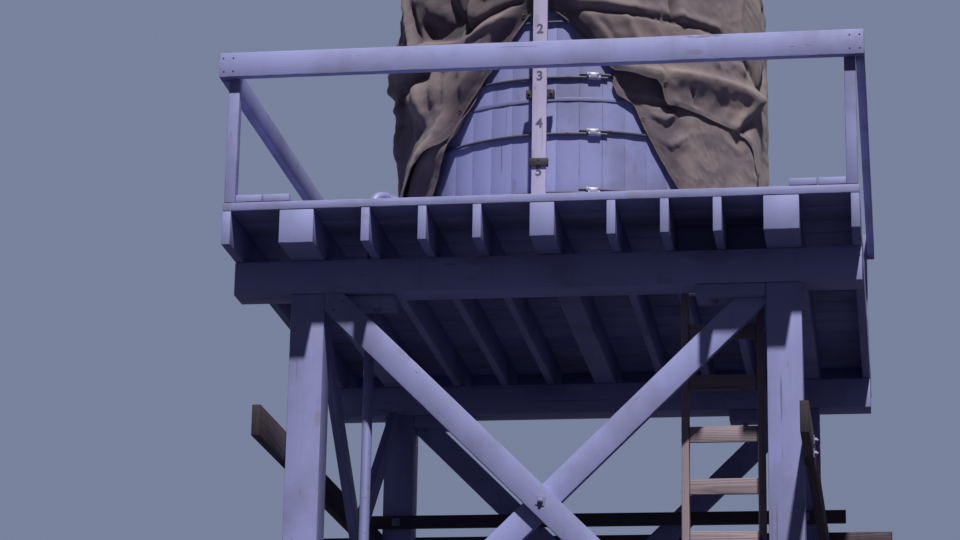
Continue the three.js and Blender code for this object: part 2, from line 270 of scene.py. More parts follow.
# %% Node group: wood
g, given = new_group("wood", Grain="Vector")
grain = given["Grain"]
waver = g.times(g.noise(grain, (0.9, 5, 5)), 0.05)
bent = g.vector("ADD", {0: grain, 1: g.node("CombineXYZ", {1: waver})[0]})
wave = {"Vector": g.stretch(bent, (0.05, 1, 1)), "Scale": 34, "Distortion": 2.2, "Detail": 2,
        "Detail Scale": 0.6}
rings = g.node("TexWave", wave, wave_type="RINGS", rings_direction="X")[1]
split = g.noise(grain, (0.9, 62, 62), 1)
where = g.noise(grain, (1.4, 7, 7), 1)
cells = g.node("TexVoronoi", {"Vector": g.stretch(grain, (3.4, 9, 9)), "Scale": 1.0})
some = g.step(g.node("SeparateColor", {0: cells["Color"]})[0], 0.66, 0.68)
wood_group = give(g, Rings=rings, Fibre=g.noise(grain, (7, 240, 240)),
                  Checks=g.times(g.step(split, 0.7, 0.73), g.step(where, 0.56, 0.62)),
                  Knots=g.times(g.step(cells["Distance"], 0.2, 0.14), some))

# %% [markdown]
# Paint wears first on edges. Two more attributes hold where a point lies on its board and the board's half
# sizes. Their difference is the distance to each face, and the middle one of the three is the distance to the
# nearest edge. That needs no baked curvature and is the same on every copy.

# %% Node group: distance to an edge
g, given = new_group("edge", Spot="Vector", Half="Vector")
gap = g.vector("SUBTRACT", {0: given["Half"], 1: g.vector("ABSOLUTE", {0: given["Spot"]})})
dx, dy, dz = g.node("SeparateXYZ", {0: gap})[:3]
middle = g.most(g.calc("MINIMUM", dx, dy), g.calc("MINIMUM", g.most(dx, dy), dz))
edge_group = give(g, Distance=middle, Side=g.step(dx, 0.003, 0.012))

# %% [markdown]
# Weather leaves cloudy patches of faded or grimy paint, small specks, and runs that rain draws downwards.
# They belong to the whole tower, not to a board, so this group reads place on the object.

# %% Node group: weather
g, given = new_group("weather", Place="Vector")
place = given["Place"]
weather_group = give(g, Patches=g.noise(place, 1.7, 5, 0.6), Specks=g.step(g.noise(place, 70), 0.66, 0.72),
                     Runs=g.step(g.noise(place, (8, 8, 0.5), 4, 0.65), 0.5, 0.72))

# %% [markdown]
# A finish is one material. Most read the same few things: the place on the object, the weather, and the
# measures that each board carries.

# %% What every finish reads
class Finish(Graph):
    """The nodes of one material, with the weather at hand"""

    def __init__(self, name):
        self.material = bpy.data.materials.new(name)
        self.material.use_nodes = True
        super().__init__(self.material.node_tree)
        self.place = self.node("TexCoord")["Object"]
        self.weather = self.node("Group", {"Place": self.place}, node_tree=weather_group)

    def own(self, name, socket="Fac"):
        """A value that the mesh carries"""
        return self.node("Attribute", attribute_name=name)[socket]

    def sawn(self):
        """What the wood and edge groups give"""
        half = {"Spot": self.own("spot", "Vector"), "Half": self.own("half", "Vector")}
        return (self.node("Group", {"Grain": self.own("grain", "Vector")}, node_tree=wood_group),
                self.node("Group", half, node_tree=edge_group))

    def toned(self, shade, low, high):
        """Makes each board a little lighter or darker than the next"""
        return self.vector("SCALE", {0: shade, 3: self.step(self.own("tone"), 0, 1, low, high)})

    def done(self, shade, roughness, normal, **more):
        values = {"Base Color": shade, "Roughness": roughness, "Normal": normal, **more}
        self.feed(self.tree.nodes["Principled BSDF"].inputs, values)
        print("finish:", self.material.name)
        return self.material


# %% [markdown]
# Painted timber is two surfaces in one: a matt pale blue-grey coat, and the greyed wood that shows where the
# coat has gone from edges, knots and checks. A mask chooses between them and also lowers the surface by the
# coat's thickness, so worn places read as chips and not as stains.

# %% Painted timber
def painted_timber(name, coat, grime, bare, wear=0.5, relief=0.5):
    g = Finish(name)
    wood, edges = g.sawn()
    checks = g.times(wood["Checks"], edges["Side"])
    ragged = g.times(g.noise(g.place, 9, 4, 0.7), 0.018)
    edge = g.step(g.less(edges["Distance"], ragged), -0.006, -0.009)
    chips = g.step(g.noise(g.own("grain", "Vector"), (5, 26, 26), 3), 0.71, 0.735)
    open_wood = g.most(g.times(g.most(edge, chips), wear, clamp=True), g.times(checks, 0.5))
    coated = g.mix(g.step(g.weather["Patches"], 0.42, 0.72, 0.0, 0.55), coat, grime)
    coated = g.tinted(coated, (g.weather["Runs"], 0.15, grime), (wood["Rings"], 0.06, grime),
                      (wood["Knots"], 0.3, bare))
    wooden = g.mix(checks, g.mix(wood["Fibre"], bare, darker(bare, 0.55)), (0.06, 0.05, 0.07, 1))
    height = g.plus(g.times(wood["Rings"], 0.12), g.times(wood["Fibre"], 0.3))
    height = g.less(height, g.times(open_wood, 0.9))
    rough = g.step(g.plus(open_wood, g.weather["Patches"]), 0.3, 1.2, 0.58, 0.88)
    return g.done(g.mix(open_wood, g.toned(coated, 0.9, 1.06), wooden), rough, g.bump(relief, 0.0022, height))


GRIME, GREYED_WOOD = colour(106, 104, 134), colour(124, 108, 104)
paint = painted_timber("painted_timber", colour(148, 152, 206), GRIME, GREYED_WOOD)
tank_paint = painted_timber("tank_paint", colour(143, 148, 200), GRIME, GREYED_WOOD, wear=0.3, relief=0.35)
gauge_paint = painted_timber("gauge_paint", colour(180, 174, 208), colour(138, 132, 160), GREYED_WOOD,
                             wear=0.45)

# %% [markdown]
# Bare wood shows its rings and fibres in colour as well as in relief, and is darkest on its sawn ends.
# Pinkish new rungs and old brown planks are the same wood at different ages, so one function makes both.

# %% Bare timber
def bare_timber(name, light, dark, weathered):
    g = Finish(name)
    wood, edges = g.sawn()
    share = g.plus(g.times(wood["Rings"], 0.5), g.times(wood["Fibre"], 0.4))
    base = g.tinted(g.mix(share, light, dark), (g.weather["Patches"], weathered, colour(120, 116, 122)),
                    (g.weather["Runs"], 0.35, dark), (g.less(1.0, edges["Side"]), 0.7, darker(dark, 0.4)),
                    (g.most(wood["Knots"], wood["Checks"]), 0.8, colour(46, 34, 32)))
    bump = g.bump(0.6, 0.0025, g.less(share, g.times(wood["Checks"], 1.2)))
    return g.done(g.toned(base, 0.86, 1.1), g.step(wood["Fibre"], 0.2, 0.8, 0.7, 0.9), bump)


rung_wood = bare_timber("rung_wood", colour(170, 152, 158), colour(122, 104, 114), 0.35)
brown_wood = bare_timber("brown_wood", colour(84, 70, 80), colour(48, 38, 50), 0.15)

# %% [markdown]
# The metalwork is steel and iron under old paint or zinc. Rust starts as specks, spreads in patches and dulls
# the surface. One function covers all of it, with a colour, a share of rust, a roughness and a share of bare
# metal.

# %% Metal
def metal(name, base, rust_share, shine, metallic):
    g = Finish(name)
    low = 1 - rust_share
    rust = g.most(g.step(g.noise(g.place, 23, 4, 0.65), low, low + 0.08), g.times(g.weather["Specks"], 0.7))
    rusty = g.mix(g.noise(g.place, 90, 3), colour(70, 42, 38), colour(122, 78, 60))
    faded = g.mix(g.weather["Patches"], base, darker(base, 0.7))
    bump = g.bump(0.35, 0.0012, g.plus(g.times(rust, 0.5), g.noise(g.place, 160)))
    return g.done(g.mix(rust, faded, rusty), g.step(rust, 0, 1, shine, 0.92), bump,
                  Metallic=g.step(rust, 0, 1, metallic, 0.1))


hoop_metal = metal("hoop_rod", colour(78, 76, 100), 0.4, 0.6, 0.1)
lug_metal = metal("cast_lug", colour(176, 176, 198), 0.3, 0.42, 0.3)
strap_metal = metal("strap_paint", colour(128, 131, 176), 0.24, 0.6, 0.05)
bolt_metal = metal("bolt_paint", colour(142, 144, 186), 0.36, 0.6, 0.1)
iron = metal("dark_iron", colour(58, 52, 64), 0.4, 0.6, 0.2)
pipe_metal = metal("pipe_paint", colour(142, 146, 196), 0.33, 0.5, 0.1)
brass = metal("grommet_brass", colour(104, 92, 78), 0.42, 0.55, 0.6)

# %% [markdown]
# Boards, blocks and bars all start as Blender's own cube or cylinder. Each is made at its final place, with
# the place in its mesh and the object at the origin. A modifier is used and applied at once, so that later
# steps and other programs meet plain meshes.

# %% Boxes, cylinders and modifiers
def into_mesh(*pieces):
    """Puts the objects' places and turns into their meshes, so that they sit at the origin"""
    select_only(*pieces)
    bpy.ops.object.transform_apply(location=True, rotation=True, scale=True)


def apply_modifier(piece, kind, **settings):
    modifier = piece.modifiers.new(kind.lower(), kind)
    for key, value in settings.items():
        setattr(modifier, key, value)
    select_only(piece)
    bpy.ops.object.modifier_apply(modifier=modifier.name)


def cut(piece, cutter, operation="DIFFERENCE"):
    apply_modifier(piece, "BOOLEAN", operation=operation, object=cutter, solver="EXACT")


def remove(*helpers):
    for helper in helpers:
        bpy.data.objects.remove(helper)


def cube(name, low, high):
    """A box between two corners, its place already in its mesh"""
    low, high = Vector(low), Vector(high)
    select_only()
    bpy.ops.mesh.primitive_cube_add(size=1, location=(low + high) / 2, scale=high - low)
    piece = bpy.context.object
    piece.name = piece.data.name = name
    into_mesh(piece)
    return piece


def cylinder(name, radius, depth, place=(0, 0, 0), sides=96, **more):
    select_only()
    bpy.ops.mesh.primitive_cylinder_add(vertices=sides, radius=radius, depth=depth, location=place, **more)
    piece = bpy.context.object
    piece.name = name
    into_mesh(piece)
    return piece


print("boxes and cylinders ready")

# %% [markdown]
# Bevels, cuts and sweeps work in edit mode on what is selected. A with block enters it and always leaves it
# again, and edges are picked by where they lie and which way they run.

# %% Edit mode
@contextmanager
def editing(piece):
    """Edit mode for a while, with everything selected at first"""
    select_only(piece)
    bpy.ops.object.mode_set(mode="EDIT")
    bpy.ops.mesh.select_mode(type="EDGE")
    bpy.ops.mesh.select_all(action="SELECT")
    yield
    bpy.ops.object.mode_set(mode="OBJECT")


def select_edges(wanted):
    """In edit mode, selects the edges for which wanted(middle, direction) is true"""
    mesh = bmesh.from_edit_mesh(bpy.context.edit_object.data)
    for face in mesh.faces:
        face.select = False
    for edge in mesh.edges:
        first, second = (v.co for v in edge.verts)
        edge.select = wanted((first + second) / 2, second - first)
    mesh.select_flush_mode()
    bmesh.update_edit_mesh(bpy.context.edit_object.data)


print("edges can be picked by place and direction")

# %% [markdown]
# Nearly everything here is sawn lumber. A board could be a plain box with a picture on it, but real ones have
# eased edges, faces that aren't quite true, and grain that runs along them. So a cube has its edges bevelled,
# is cut across so that it can be uneven, and a Displace modifier sinks its faces by a millimetre or two. The
# board's own measures are then written for the finishes.

# %% A sawn board
BAY = 0.4
AXES = {"X": X, "Y": Y, "Z": Z}
TURNS = {"X": Matrix.Identity(3), "Y": turned(math.pi / 2, "Z", 3), "Z": turned(-math.pi / 2, "Y", 3)}
dice = random.Random(11)
uneven = bpy.data.textures.new("uneven", "CLOUDS")
uneven.noise_scale = 0.3


def mark_board(piece, centre, turn, half):
    """Writes each point's measure along, across and through the board, the half sizes and a tone"""
    mesh = piece.data
    points = np.empty(len(mesh.vertices) * 3)
    mesh.vertices.foreach_get("co", points)
    spot = (points.reshape(-1, 3) - np.array(centre)) @ np.array(turn)
    shift = np.array([dice.uniform(-40, 40), dice.uniform(-0.07, 0.07), dice.uniform(-0.12, 0.12)])
    measures = {"grain": spot + shift, "spot": spot, "half": np.tile(half, (len(spot), 1))}
    for name, values in measures.items():
        data = mesh.attributes.get(name) or mesh.attributes.new(name, "FLOAT_VECTOR", "POINT")
        data.data.foreach_set("vector", values.astype(np.float32).ravel())
    tone = mesh.attributes.get("tone") or mesh.attributes.new("tone", "FLOAT", "POINT")
    tone.data.foreach_set("value", np.full(len(spot), dice.random(), np.float32))


def timber(name, low, high, along="X", ease=0.004, uneven_by=0.0014, cutters=()):
    """A board between two corners, with its grain along X, Y or Z, and with openings cut out of it"""
    size, centre = Vector(high) - Vector(low), (Vector(low) + Vector(high)) / 2
    length = size.dot(AXES[along])
    piece = cube(name, low, high)
    with editing(piece):
        bpy.ops.mesh.bevel(offset=ease, segments=2, affect="EDGES")
        select_edges(lambda middle, way: abs(way.dot(AXES[along])) > 0.6 * length)
        bpy.ops.mesh.subdivide(number_cuts=max(1, round(length / BAY)))
    apply_modifier(piece, "DISPLACE", texture=uneven, texture_coords="GLOBAL", strength=uneven_by,
                   mid_level=1.0)
    for cutter in cutters:
        cut(piece, cutter)
    turn = TURNS[along]
    mark_board(piece, centre, turn, [abs(v) for v in (turn.transposed() @ (size / 2))])
    return piece


print("a board is cut across every", BAY, "m")

# %% A finished piece
def join(name, pieces):
    whole = pieces[0]
    if len(pieces) > 1:
        select_only(*pieces)
        bpy.ops.object.join()
    whole.name = whole.data.name = name
    return whole


def finish_piece(piece, finish, slot, *nodes, body="tower", angle=35):
    """Gives a piece its finish, smooth shading up to an angle and its body, and hides the solids it stands
    for.
    The slot is not used.
    """
    piece.data.materials.clear()
    piece.data.materials.append(finish)
    select_only(piece)
    bpy.ops.object.shade_smooth_by_angle(angle=math.radians(angle))
    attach(piece, body)
    if nodes:
        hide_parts(*nodes)
    return piece


def built(node_name, sticks, finish=paint, slot="painted_timber"):
    """Joins the timbers that stand for one node"""
    return finish_piece(join("timber_" + node_name, sticks), finish, slot, node_name)


def board_for(node_name, along, finish=paint, slot="painted_timber", **shape):
    """Replaces a plain box of the frame by a board of the same size"""
    return built(node_name, [timber("board", *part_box(node_name), along=along, **shape)], finish, slot)


for end in ("front", "back"):
    for side in ("left", "right"):
        board_for(f"post_{end}_{side}", "Z", ease=0.007, uneven_by=0.0025)
for name in ("beam_left", "beam_middle", "beam_right"):
    board_for(name, "Y", ease=0.006, uneven_by=0.002)
JOISTS = [f"joist_{i}" for i in range(1, 6)]
for name in ["edge_joist_left", "edge_joist_right"] + JOISTS:
    board_for(name, "Y")
for name in ("rim_back", "rail_front", "rail_back"):
    board_for(name, "X")
for name in ("side_plank_left", "side_plank_right", "back_bar_upper", "back_bar_lower"):
    board_for(name, "Y" if "side" in name else "X", brown_wood, "brown_timber", uneven_by=0.002)
print("posts, beams, joists, rails, planks and bars are timber now")

# %% [markdown]
# The girders lie on the posts, with a short bolster bolted under each end. The frame's node is one fused
# solid, so the real three sticks are made inside its outline: the corners of the node's mesh give their
# places.

# %% Girders and bolsters
BOLSTER_DEPTH = 0.075
SEAM = 0.0003
INSET = 0.01


def corners(node_name):
    """The different X and Y values of a node's corners, in order"""
    points = [v.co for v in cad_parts[node_name].data.vertices]
    return [sorted({round(p[i], 4) for p in points}) for i in range(2)]


for end in ("front", "back"):
    name = "girder_" + end
    low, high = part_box(name)
    xs, ys = corners(name)
    inner = [x for x in xs if abs(x) < 1]
    outer = [x for x in xs if 1 < abs(x) < 1.5]
    set_back = [y for y in ys if low.y + INSET < y < high.y - INSET][0]
    top = low.z + BOLSTER_DEPTH
    sticks = [timber("girder", (low.x, low.y, top), high, ease=0.006, uneven_by=0.002)]
    for side, x0, x1 in (("left", outer[0], inner[0]), ("right", inner[1], outer[1])):
        y0 = set_back if (end, side) == ("front", "left") else low.y
        y1 = set_back if (end, side) == ("back", "right") else high.y
        sticks.append(timber("bolster", (x0, y0, low.z), (x1, y1, top - 0.001)))
    built(name, sticks)
print("girders:", [round(x, 3) for x in inner], "are the bolsters' inner ends")

# %% [markdown]
# A brace is a straight board whose ends are cut to fit the bay, upright against the post and level against
# the beam. A carpenter cuts it after laying it across, and so does this: a board longer than the bay is
# turned to its diagonal and bisected along the bay's edges.

# %% Diagonal braces
BRACE_WIDTH = TIE_DEPTH = 0.152
THIN = 0.051
SIDES = {"front": (-Y, X, -1), "back": (Y, X, 1), "left": (-X, Y, 1), "right": (X, Y, -1)}


def diagonal_board(name, low, high, rising, top_cut=0.0):
    """A brace in the upright bay between two corners, rising with +X or +Y if rising is 1"""
    low, high = Vector(low), Vector(high)
    size, centre = high - low, (low + high) / 2
    across, through = (X, Y) if size.x > size.y else (Y, X)
    width = size.dot(across)
    half = (across * (math.hypot(width, size.z) / 2 + 0.15) + through * (size.dot(through) / 2)
            + Z * (BRACE_WIDTH / 2))
    piece = timber(name, -half, half, along="X" if across == X else "Y", uneven_by=0.0015)
    angle = rising * math.atan2(size.z, width)
    piece.rotation_euler = (0, -angle, 0) if across == X else (angle, 0, 0)
    piece.location = centre
    into_mesh(piece)
    with editing(piece):
        for place, outwards in ((low, -across), (high, across), (low, -Z), (high - Z * top_cut, Z)):
            bpy.ops.mesh.select_all(action="SELECT")
            bpy.ops.mesh.bisect(plane_co=place, plane_no=outwards, use_fill=True, clear_outer=True)
    return piece


def slab(low, high, side, start, deep):
    """The corners of a slice of a box, from a depth under the face that looks outwards"""
    outwards, across, _ = SIDES[side]
    through = X + Y - across
    sign = outwards.dot(through)
    face = (high if sign > 0 else low).dot(through)
    near, far = sorted((face - sign * start, face - sign * (start + deep)))
    return (across * low.dot(across) + through * near + Z * low.z,
            across * high.dot(across) + through * far + Z * high.z)


for side, (_, _, sense) in SIDES.items():
    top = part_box(f"brace_{side}_outer")[1].z
    for layer, rising in (("outer", sense), ("inner", -sense)):
        name = f"brace_{side}_{layer}"
        low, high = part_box(name)
        built(name, [diagonal_board("brace", low, (high.x, high.y, top), rising, top - high.z)])
for side, (_, across, sense) in SIDES.items():
    name = "brace_lower_" + side
    low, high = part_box(name)
    cross_high = high - Z * TIE_DEPTH
    sticks = [diagonal_board("lower_brace", *slab(low, cross_high, side, start, THIN - SEAM), rising)
              for start, rising in ((0, sense), (THIN + SEAM, -sense))]
    tie = slab(Vector((low.x, low.y, cross_high.z)), high, side, 0, THIN)
    sticks.append(timber("tie", *tie, along="X" if across == X else "Y"))
    built(name, sticks)
print("braces: 8 above, 8 below with their ties")

# %% [markdown]
# The joist under the ladder hatch is cut short, and headers between its neighbours carry the two stubs. Each
# stub's node is a fused T, so its sticks are made from the corners of the node's mesh, as the girders were.

# %% Hatch framing
hatch_low = Vector((0.7635, -1.24165, deck_low.z))
hatch_high = Vector((1.2835, -0.59165, deck_high.z))
for end in ("front", "back"):
    name = "hatch_framing_" + end
    low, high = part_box(name)
    stub_x = [x for x in corners(name)[0] if low.x + INSET < x < high.x - INSET]
    header_y = (high.y - THIN, high.y) if end == "front" else (low.y, low.y + THIN)
    stub_y = (low.y, header_y[0] - SEAM) if end == "front" else (header_y[1] + SEAM, high.y)
    header = timber("header", (low.x, header_y[0], low.z), (high.x, header_y[1], high.z))
    stub = timber("stub_joist", (stub_x[0], stub_y[0], low.z), (stub_x[-1], stub_y[1], high.z), along="Y")
    built(name, [header, stub])
print("hatch framing: stub joists at x", round(sum(stub_x) / len(stub_x), 3))

# %% [markdown]
# Sixteen boards with narrow gaps make the deck. The hatch and the hole for the riser pipe are cut through the
# boards that they meet, with a Boolean modifier, as a carpenter saws an opening after the boards are down.

# %% Deck boards
BOARDS, GAP = 16, 0.005
PIPE_RADIUS, HOLE_ROOM, NEAR_PIPE = 0.030, 0.006, 0.04
RAGGED, WALK_GAP = 0.004, 0.006
PIPE_X, PIPE_Y = -1.056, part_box("riser_pipe")[0].y + PIPE_RADIUS
hatch = cube("hatch", hatch_low - Z * 0.1, hatch_high + Z * 0.1)
hole = cylinder("pipe_hole", PIPE_RADIUS + HOLE_ROOM, 0.3, (PIPE_X, PIPE_Y, deck_high.z), sides=32)
pitch = (deck_high.y - deck_low.y) / BOARDS
sticks = []
for i in range(BOARDS):
    y0 = deck_low.y + i * pitch + (GAP / 2 if i else 0)
    y1 = deck_low.y + (i + 1) * pitch - (GAP / 2 if i < BOARDS - 1 else 0)
    cutters = [hatch] if y1 > hatch_low.y and y0 < hatch_high.y else []
    if y0 < PIPE_Y + NEAR_PIPE and y1 > PIPE_Y - NEAR_PIPE:
        cutters.append(hole)
    end = dice.uniform(0, RAGGED)
    low, high = (deck_low.x + end, y0, deck_low.z), (deck_high.x - end, y1, deck_high.z)
    sticks.append(timber("deck_board", low, high, cutters=cutters))
remove(hatch, hole)
finish_piece(join("deck_boards", sticks), paint, "painted_timber", "deck")

for name in ("walk_left", "walk_right"):
    low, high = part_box(name)
    half = (low.x + high.x) / 2
    built(name, [timber("walk_board", (x0, low.y, low.z), (x1, high.y, high.z), along="Y")
                 for x0, x1 in ((low.x, half - WALK_GAP / 2), (half + WALK_GAP / 2, high.x))])
print("deck:", BOARDS, "boards at", round(pitch * 1000, 1), "mm, and two walks of two boards")

# %% [markdown]
# Each side of the railing is two corner posts with a rail spiked to their outer faces. The rails in front and
# behind lap over its ends, so all four corners close.

# %% Railing panels
RAIL_POST = 0.066
rail_low, rail_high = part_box("rail_front")
for side in ("left", "right"):
    low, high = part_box("railing_" + side)
    outer_x, inner_x = (low.x, high.x) if side == "left" else (high.x, low.x)
    post_x = sorted((inner_x, inner_x + math.copysign(RAIL_POST, outer_x)))
    rail_x = sorted((outer_x, outer_x - math.copysign(THIN - SEAM, outer_x)))
    sticks = [timber("rail", (rail_x[0], low.y, rail_low.z), (rail_x[1], high.y, high.z), along="Y")]
    sticks += [timber("rail_post", (post_x[0], y0, low.z), (post_x[1], y0 + RAIL_POST, high.z), along="Z")
               for y0 in (low.y, high.y - RAIL_POST)]
    built("railing_" + side, sticks)
print("railing panels: posts at x", round(sum(post_x) / 2, 3))

# %% [markdown]
# The ladder has two long stringers and flat rungs let in between them. A rung is modelled once and copied
# twenty times. Every copy is marked again, so that no two show the same grain, and sits up to half a degree
# off level.

# %% Ladder
RUNGS, RUNG_TALL, RUNG_THICK, RUNG_PITCH, TOP_RUNG = 20, 0.092, 0.025, 0.305, 6.234
STRINGER, LET_IN, OFF_LEVEL = 0.044, 0.001, 0.5


def twin_of(source, place=Matrix.Identity(4)):
    """A copy with its own mesh, put in its place"""
    twin = linked(source.name, source.data.copy())
    twin.matrix_world = place @ source.matrix_world
    return twin


low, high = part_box("ladder")
sticks = [timber("stringer", (x, low.y, low.z), (x + STRINGER, high.y, high.z), along="Z", uneven_by=0.0015)
          for x in (low.x, high.x - STRINGER)]
half = Vector(((high.x - low.x) / 2 - STRINGER + LET_IN, RUNG_THICK / 2, RUNG_TALL / 2))
rung = timber("rung", -half, half, ease=0.003, uneven_by=0.001)
for i in range(RUNGS):
    twin = twin_of(rung)
    mark_board(twin, (0, 0, 0), TURNS["X"], half)
    middle = ((low.x + high.x) / 2, low.y + 0.004 + half.y, TOP_RUNG - half.z - i * RUNG_PITCH)
    twin.matrix_world = moved(middle) @ turned(math.radians(dice.uniform(-OFF_LEVEL, OFF_LEVEL)), "Y")
    into_mesh(twin)
    sticks.append(twin)
remove(rung)
built("ladder", sticks, rung_wood, "raw_timber")
print("ladder:", RUNGS, "rungs at", RUNG_PITCH, "m")

# %% [markdown]
# A stave tank is a ring of planks with bevelled edges: 48 of them need 3.75 degrees a side. One is modelled,
# a cube with its inner face narrowed and its edges eased, so that a fine groove shows at each joint. Copies
# are then turned round the tank's axis.

# %% Tank staves
STAVES, STAVE_THICK, JOINT = 48, 0.045, 0.0004


def round_tank(name, plank, count, centre, along, half, node_name, sink=0, angle=35):
    """Turns marked copies of one plank round the tank's axis, each sunk a little by chance"""
    made = []
    for i in range(count):
        twin = twin_of(plank)
        mark_board(twin, centre, TURNS[along], half)
        inwards = moved(0, dice.uniform(0, sink) if sink else 0, 0)
        twin.matrix_world = moved(axis.x, axis.y, 0) @ turned((2 * i + 1) * math.pi / count, "Z") @ inwards
        made.append(twin)
    into_mesh(*made)
    remove(plank)
    finish_piece(join(name, made), tank_paint, "tank_timber", node_name, angle=angle)


wide = 2 * tank_radius * math.sin(math.pi / STAVES) - JOINT
flat = tank_radius * math.cos(math.pi / STAVES)
stave = cube("stave", (-wide / 2, -flat, wall_low.z), (wide / 2, STAVE_THICK - flat, wall_high.z))
centre = Vector((0, STAVE_THICK / 2 - flat, axis.z))
with editing(stave):
    select_edges(lambda middle, way: middle.y > centre.y + 0.4 * STAVE_THICK)
    bpy.ops.transform.resize(value=(1 - STAVE_THICK / flat, 1, 1))
    bpy.ops.mesh.select_all(action="SELECT")
    bpy.ops.mesh.bevel(offset=0.0014, segments=2, affect="EDGES")
    select_edges(lambda middle, way: abs(way.z) > 1)
    bpy.ops.mesh.subdivide(number_cuts=5)
half = ((wall_high.z - wall_low.z) / 2, STAVE_THICK / 2, wide / 2)
round_tank("tank_staves", stave, STAVES, centre, "Z", half, "tank_wall", sink=0.0016, angle=30)
print("tank:", STAVES, "staves,", round(1000 * wide), "mm wide")

# %% [markdown]
# Square chime joists carry the tank's floor boards, and the staves hang past them. The boards are laid side
# by side and then cut to the circle, with a Boolean against a cylinder.

# %% Tank floor
FLOOR_THICK, FLOOR_LENGTH, FLOOR_PITCH, FLOOR_GAP = 0.057, 2.06, 0.256, 0.003
CHIME, INSIDE, FLOOR_RADIUS = 0.1017, 1.005, 1.0235
CHIME_XS = (-0.8, -0.4, 0.0, 0.4, 0.8)
floor_low, floor_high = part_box("tank_floor")
sticks = []
for x in CHIME_XS:
    reach = math.sqrt(INSIDE ** 2 - (abs(x) + CHIME / 2) ** 2)
    low = Vector((x - CHIME / 2, axis.y - reach, floor_low.z))
    sticks.append(timber("chime_joist", low, (x + CHIME / 2, axis.y + reach, low.z + CHIME), along="Y"))
disc = cylinder("floor_disc", FLOOR_RADIUS, 1, (axis.x, axis.y, floor_high.z))
for i in range(8):
    low = Vector((-FLOOR_LENGTH / 2, axis.y + (i - 4) * FLOOR_PITCH, floor_high.z - FLOOR_THICK))
    size = Vector((FLOOR_LENGTH, FLOOR_PITCH - FLOOR_GAP, FLOOR_THICK))
    sticks.append(timber("floor_board", low, low + size, ease=0.003, uneven_by=0.001))
    cut(sticks[-1], disc, "INTERSECT")
remove(disc)
finish_piece(join("tank_floor_boards", sticks), brown_wood, "raw_timber", "tank_floor")
print("tank floor:", len(sticks), "timbers")

# %% [markdown]
# Under the canvas a low cone of boards closes the tank. Each is a cube at the eaves whose inner end is
# squeezed nearly to a point and lifted to the peak, then copied round the axis like the staves.

# %% Tank roof
ROOF_BOARDS, ROOF_THICK, HUB, POINT = 24, 0.024, 0.03, 0.03
roof_low, roof_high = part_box("tank_roof")
roof_radius = (roof_high.x - roof_low.x) / 2
reach = roof_radius * math.cos(math.pi / ROOF_BOARDS)
half_wide = reach * math.tan(math.pi / ROOF_BOARDS) - 0.001
wedge = cube("wedge", (-half_wide, -reach, roof_low.z), (half_wide, -HUB, roof_low.z + ROOF_THICK))
with editing(wedge):
    select_edges(lambda middle, way: middle.y > -HUB - 0.01)
    bpy.ops.transform.resize(value=(POINT, 1, 1))
    bpy.ops.transform.translate(value=(0, 0, roof_high.z - roof_low.z - ROOF_THICK - 0.01))
    bpy.ops.mesh.select_all(action="SELECT")
    bpy.ops.mesh.bevel(offset=0.0015, segments=1, affect="EDGES")
centre = (0, -(reach + HUB) / 2, roof_low.z + ROOF_THICK / 2)
round_tank("tank_roof_boards", wedge, ROOF_BOARDS, centre, "Y", (reach / 2, 0.14, 0.18), "tank_roof")
print("roof:", ROOF_BOARDS, "boards")

# %% [markdown]
# Metal parts are bars between two places, blocks between two corners, and discs that are swept along a curve.
# A swept disc leaves its first face inside, so its shell is cleaned.

# %% Bars, blocks and discs
def clean_shell(piece):
    """Merges doubled points and turns all faces outwards"""
    with editing(piece):
        bpy.ops.mesh.remove_doubles(threshold=0.00002)
        bpy.ops.mesh.normals_make_consistent(inside=False)


def round_bar(name, radius, start, finish, sides=12, ease=0.0015):
    """A bar with eased ends between two places"""
    way = Vector(finish) - Vector(start)
    bar = cylinder(name, radius, way.length, sides=sides)
    apply_modifier(bar, "BEVEL", width=ease, segments=2, limit_method="ANGLE")
    bar.matrix_world = moved(Vector(start) + way / 2) @ way.to_track_quat("Z", "Y").to_matrix().to_4x4()
    into_mesh(bar)
    return bar


def block(name, low, high, ease=0.003, segments=2):
    """A metal block with eased edges between two corners"""
    made = cube(name, low, high)
    apply_modifier(made, "BEVEL", width=ease, segments=segments)
    return made


def disc_at(radius, sides, place, towards=Z):
    """A flat round face, the start of a swept rod or pipe"""
    select_only()
    bpy.ops.mesh.primitive_circle_add(vertices=sides, radius=radius, location=place, fill_type="NGON",
                                      rotation=towards.to_track_quat("Z", "Y").to_euler())
    into_mesh(bpy.context.object)
    return bpy.context.object


print("bars, blocks and discs ready")

# %% [markdown]
# Five round rods squeeze the staves together. A hoop is one rod wound once round the tank, so its ends pass
# each other, one a little above the other, and a cast lug holds both. Spinning a small disc a little more
# than a full turn gives the rod, and raising each point by its angle gives the slight climb.

# %% Hoops
ROD, ROD_SIDES, TURN_STEPS, CLIMB = 0.0095, 8, 120, 0.02
LUG_ANGLE, OVERLAP = math.radians(12), math.radians(4.6)
OUTER_FACE = -(tank_radius + 0.0006)
LUG_WIDE, LUG_DEEP, LUG_TALL = 0.048, 0.028, 0.034
BOSS, NUT, ROD_OUT = 0.0145, 0.0165, 0.012
BOSS_ENDS = (-0.031, 0.028, 0.043)
hoop_names = [f"hoop_{i}" for i in range(1, 6)]
ring_radius = (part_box("hoop_1")[1].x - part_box("hoop_1")[0].x) / 2 - ROD
start = turned(OVERLAP, "Z", 3)
rod = disc_at(ROD, ROD_SIDES, start @ Vector((0, -ring_radius, 0)), start @ X)
with editing(rod):
    bpy.ops.mesh.spin(steps=TURN_STEPS, angle=2 * math.pi + 2 * OVERLAP, center=(0, 0, 0), axis=(0, 0, 1))
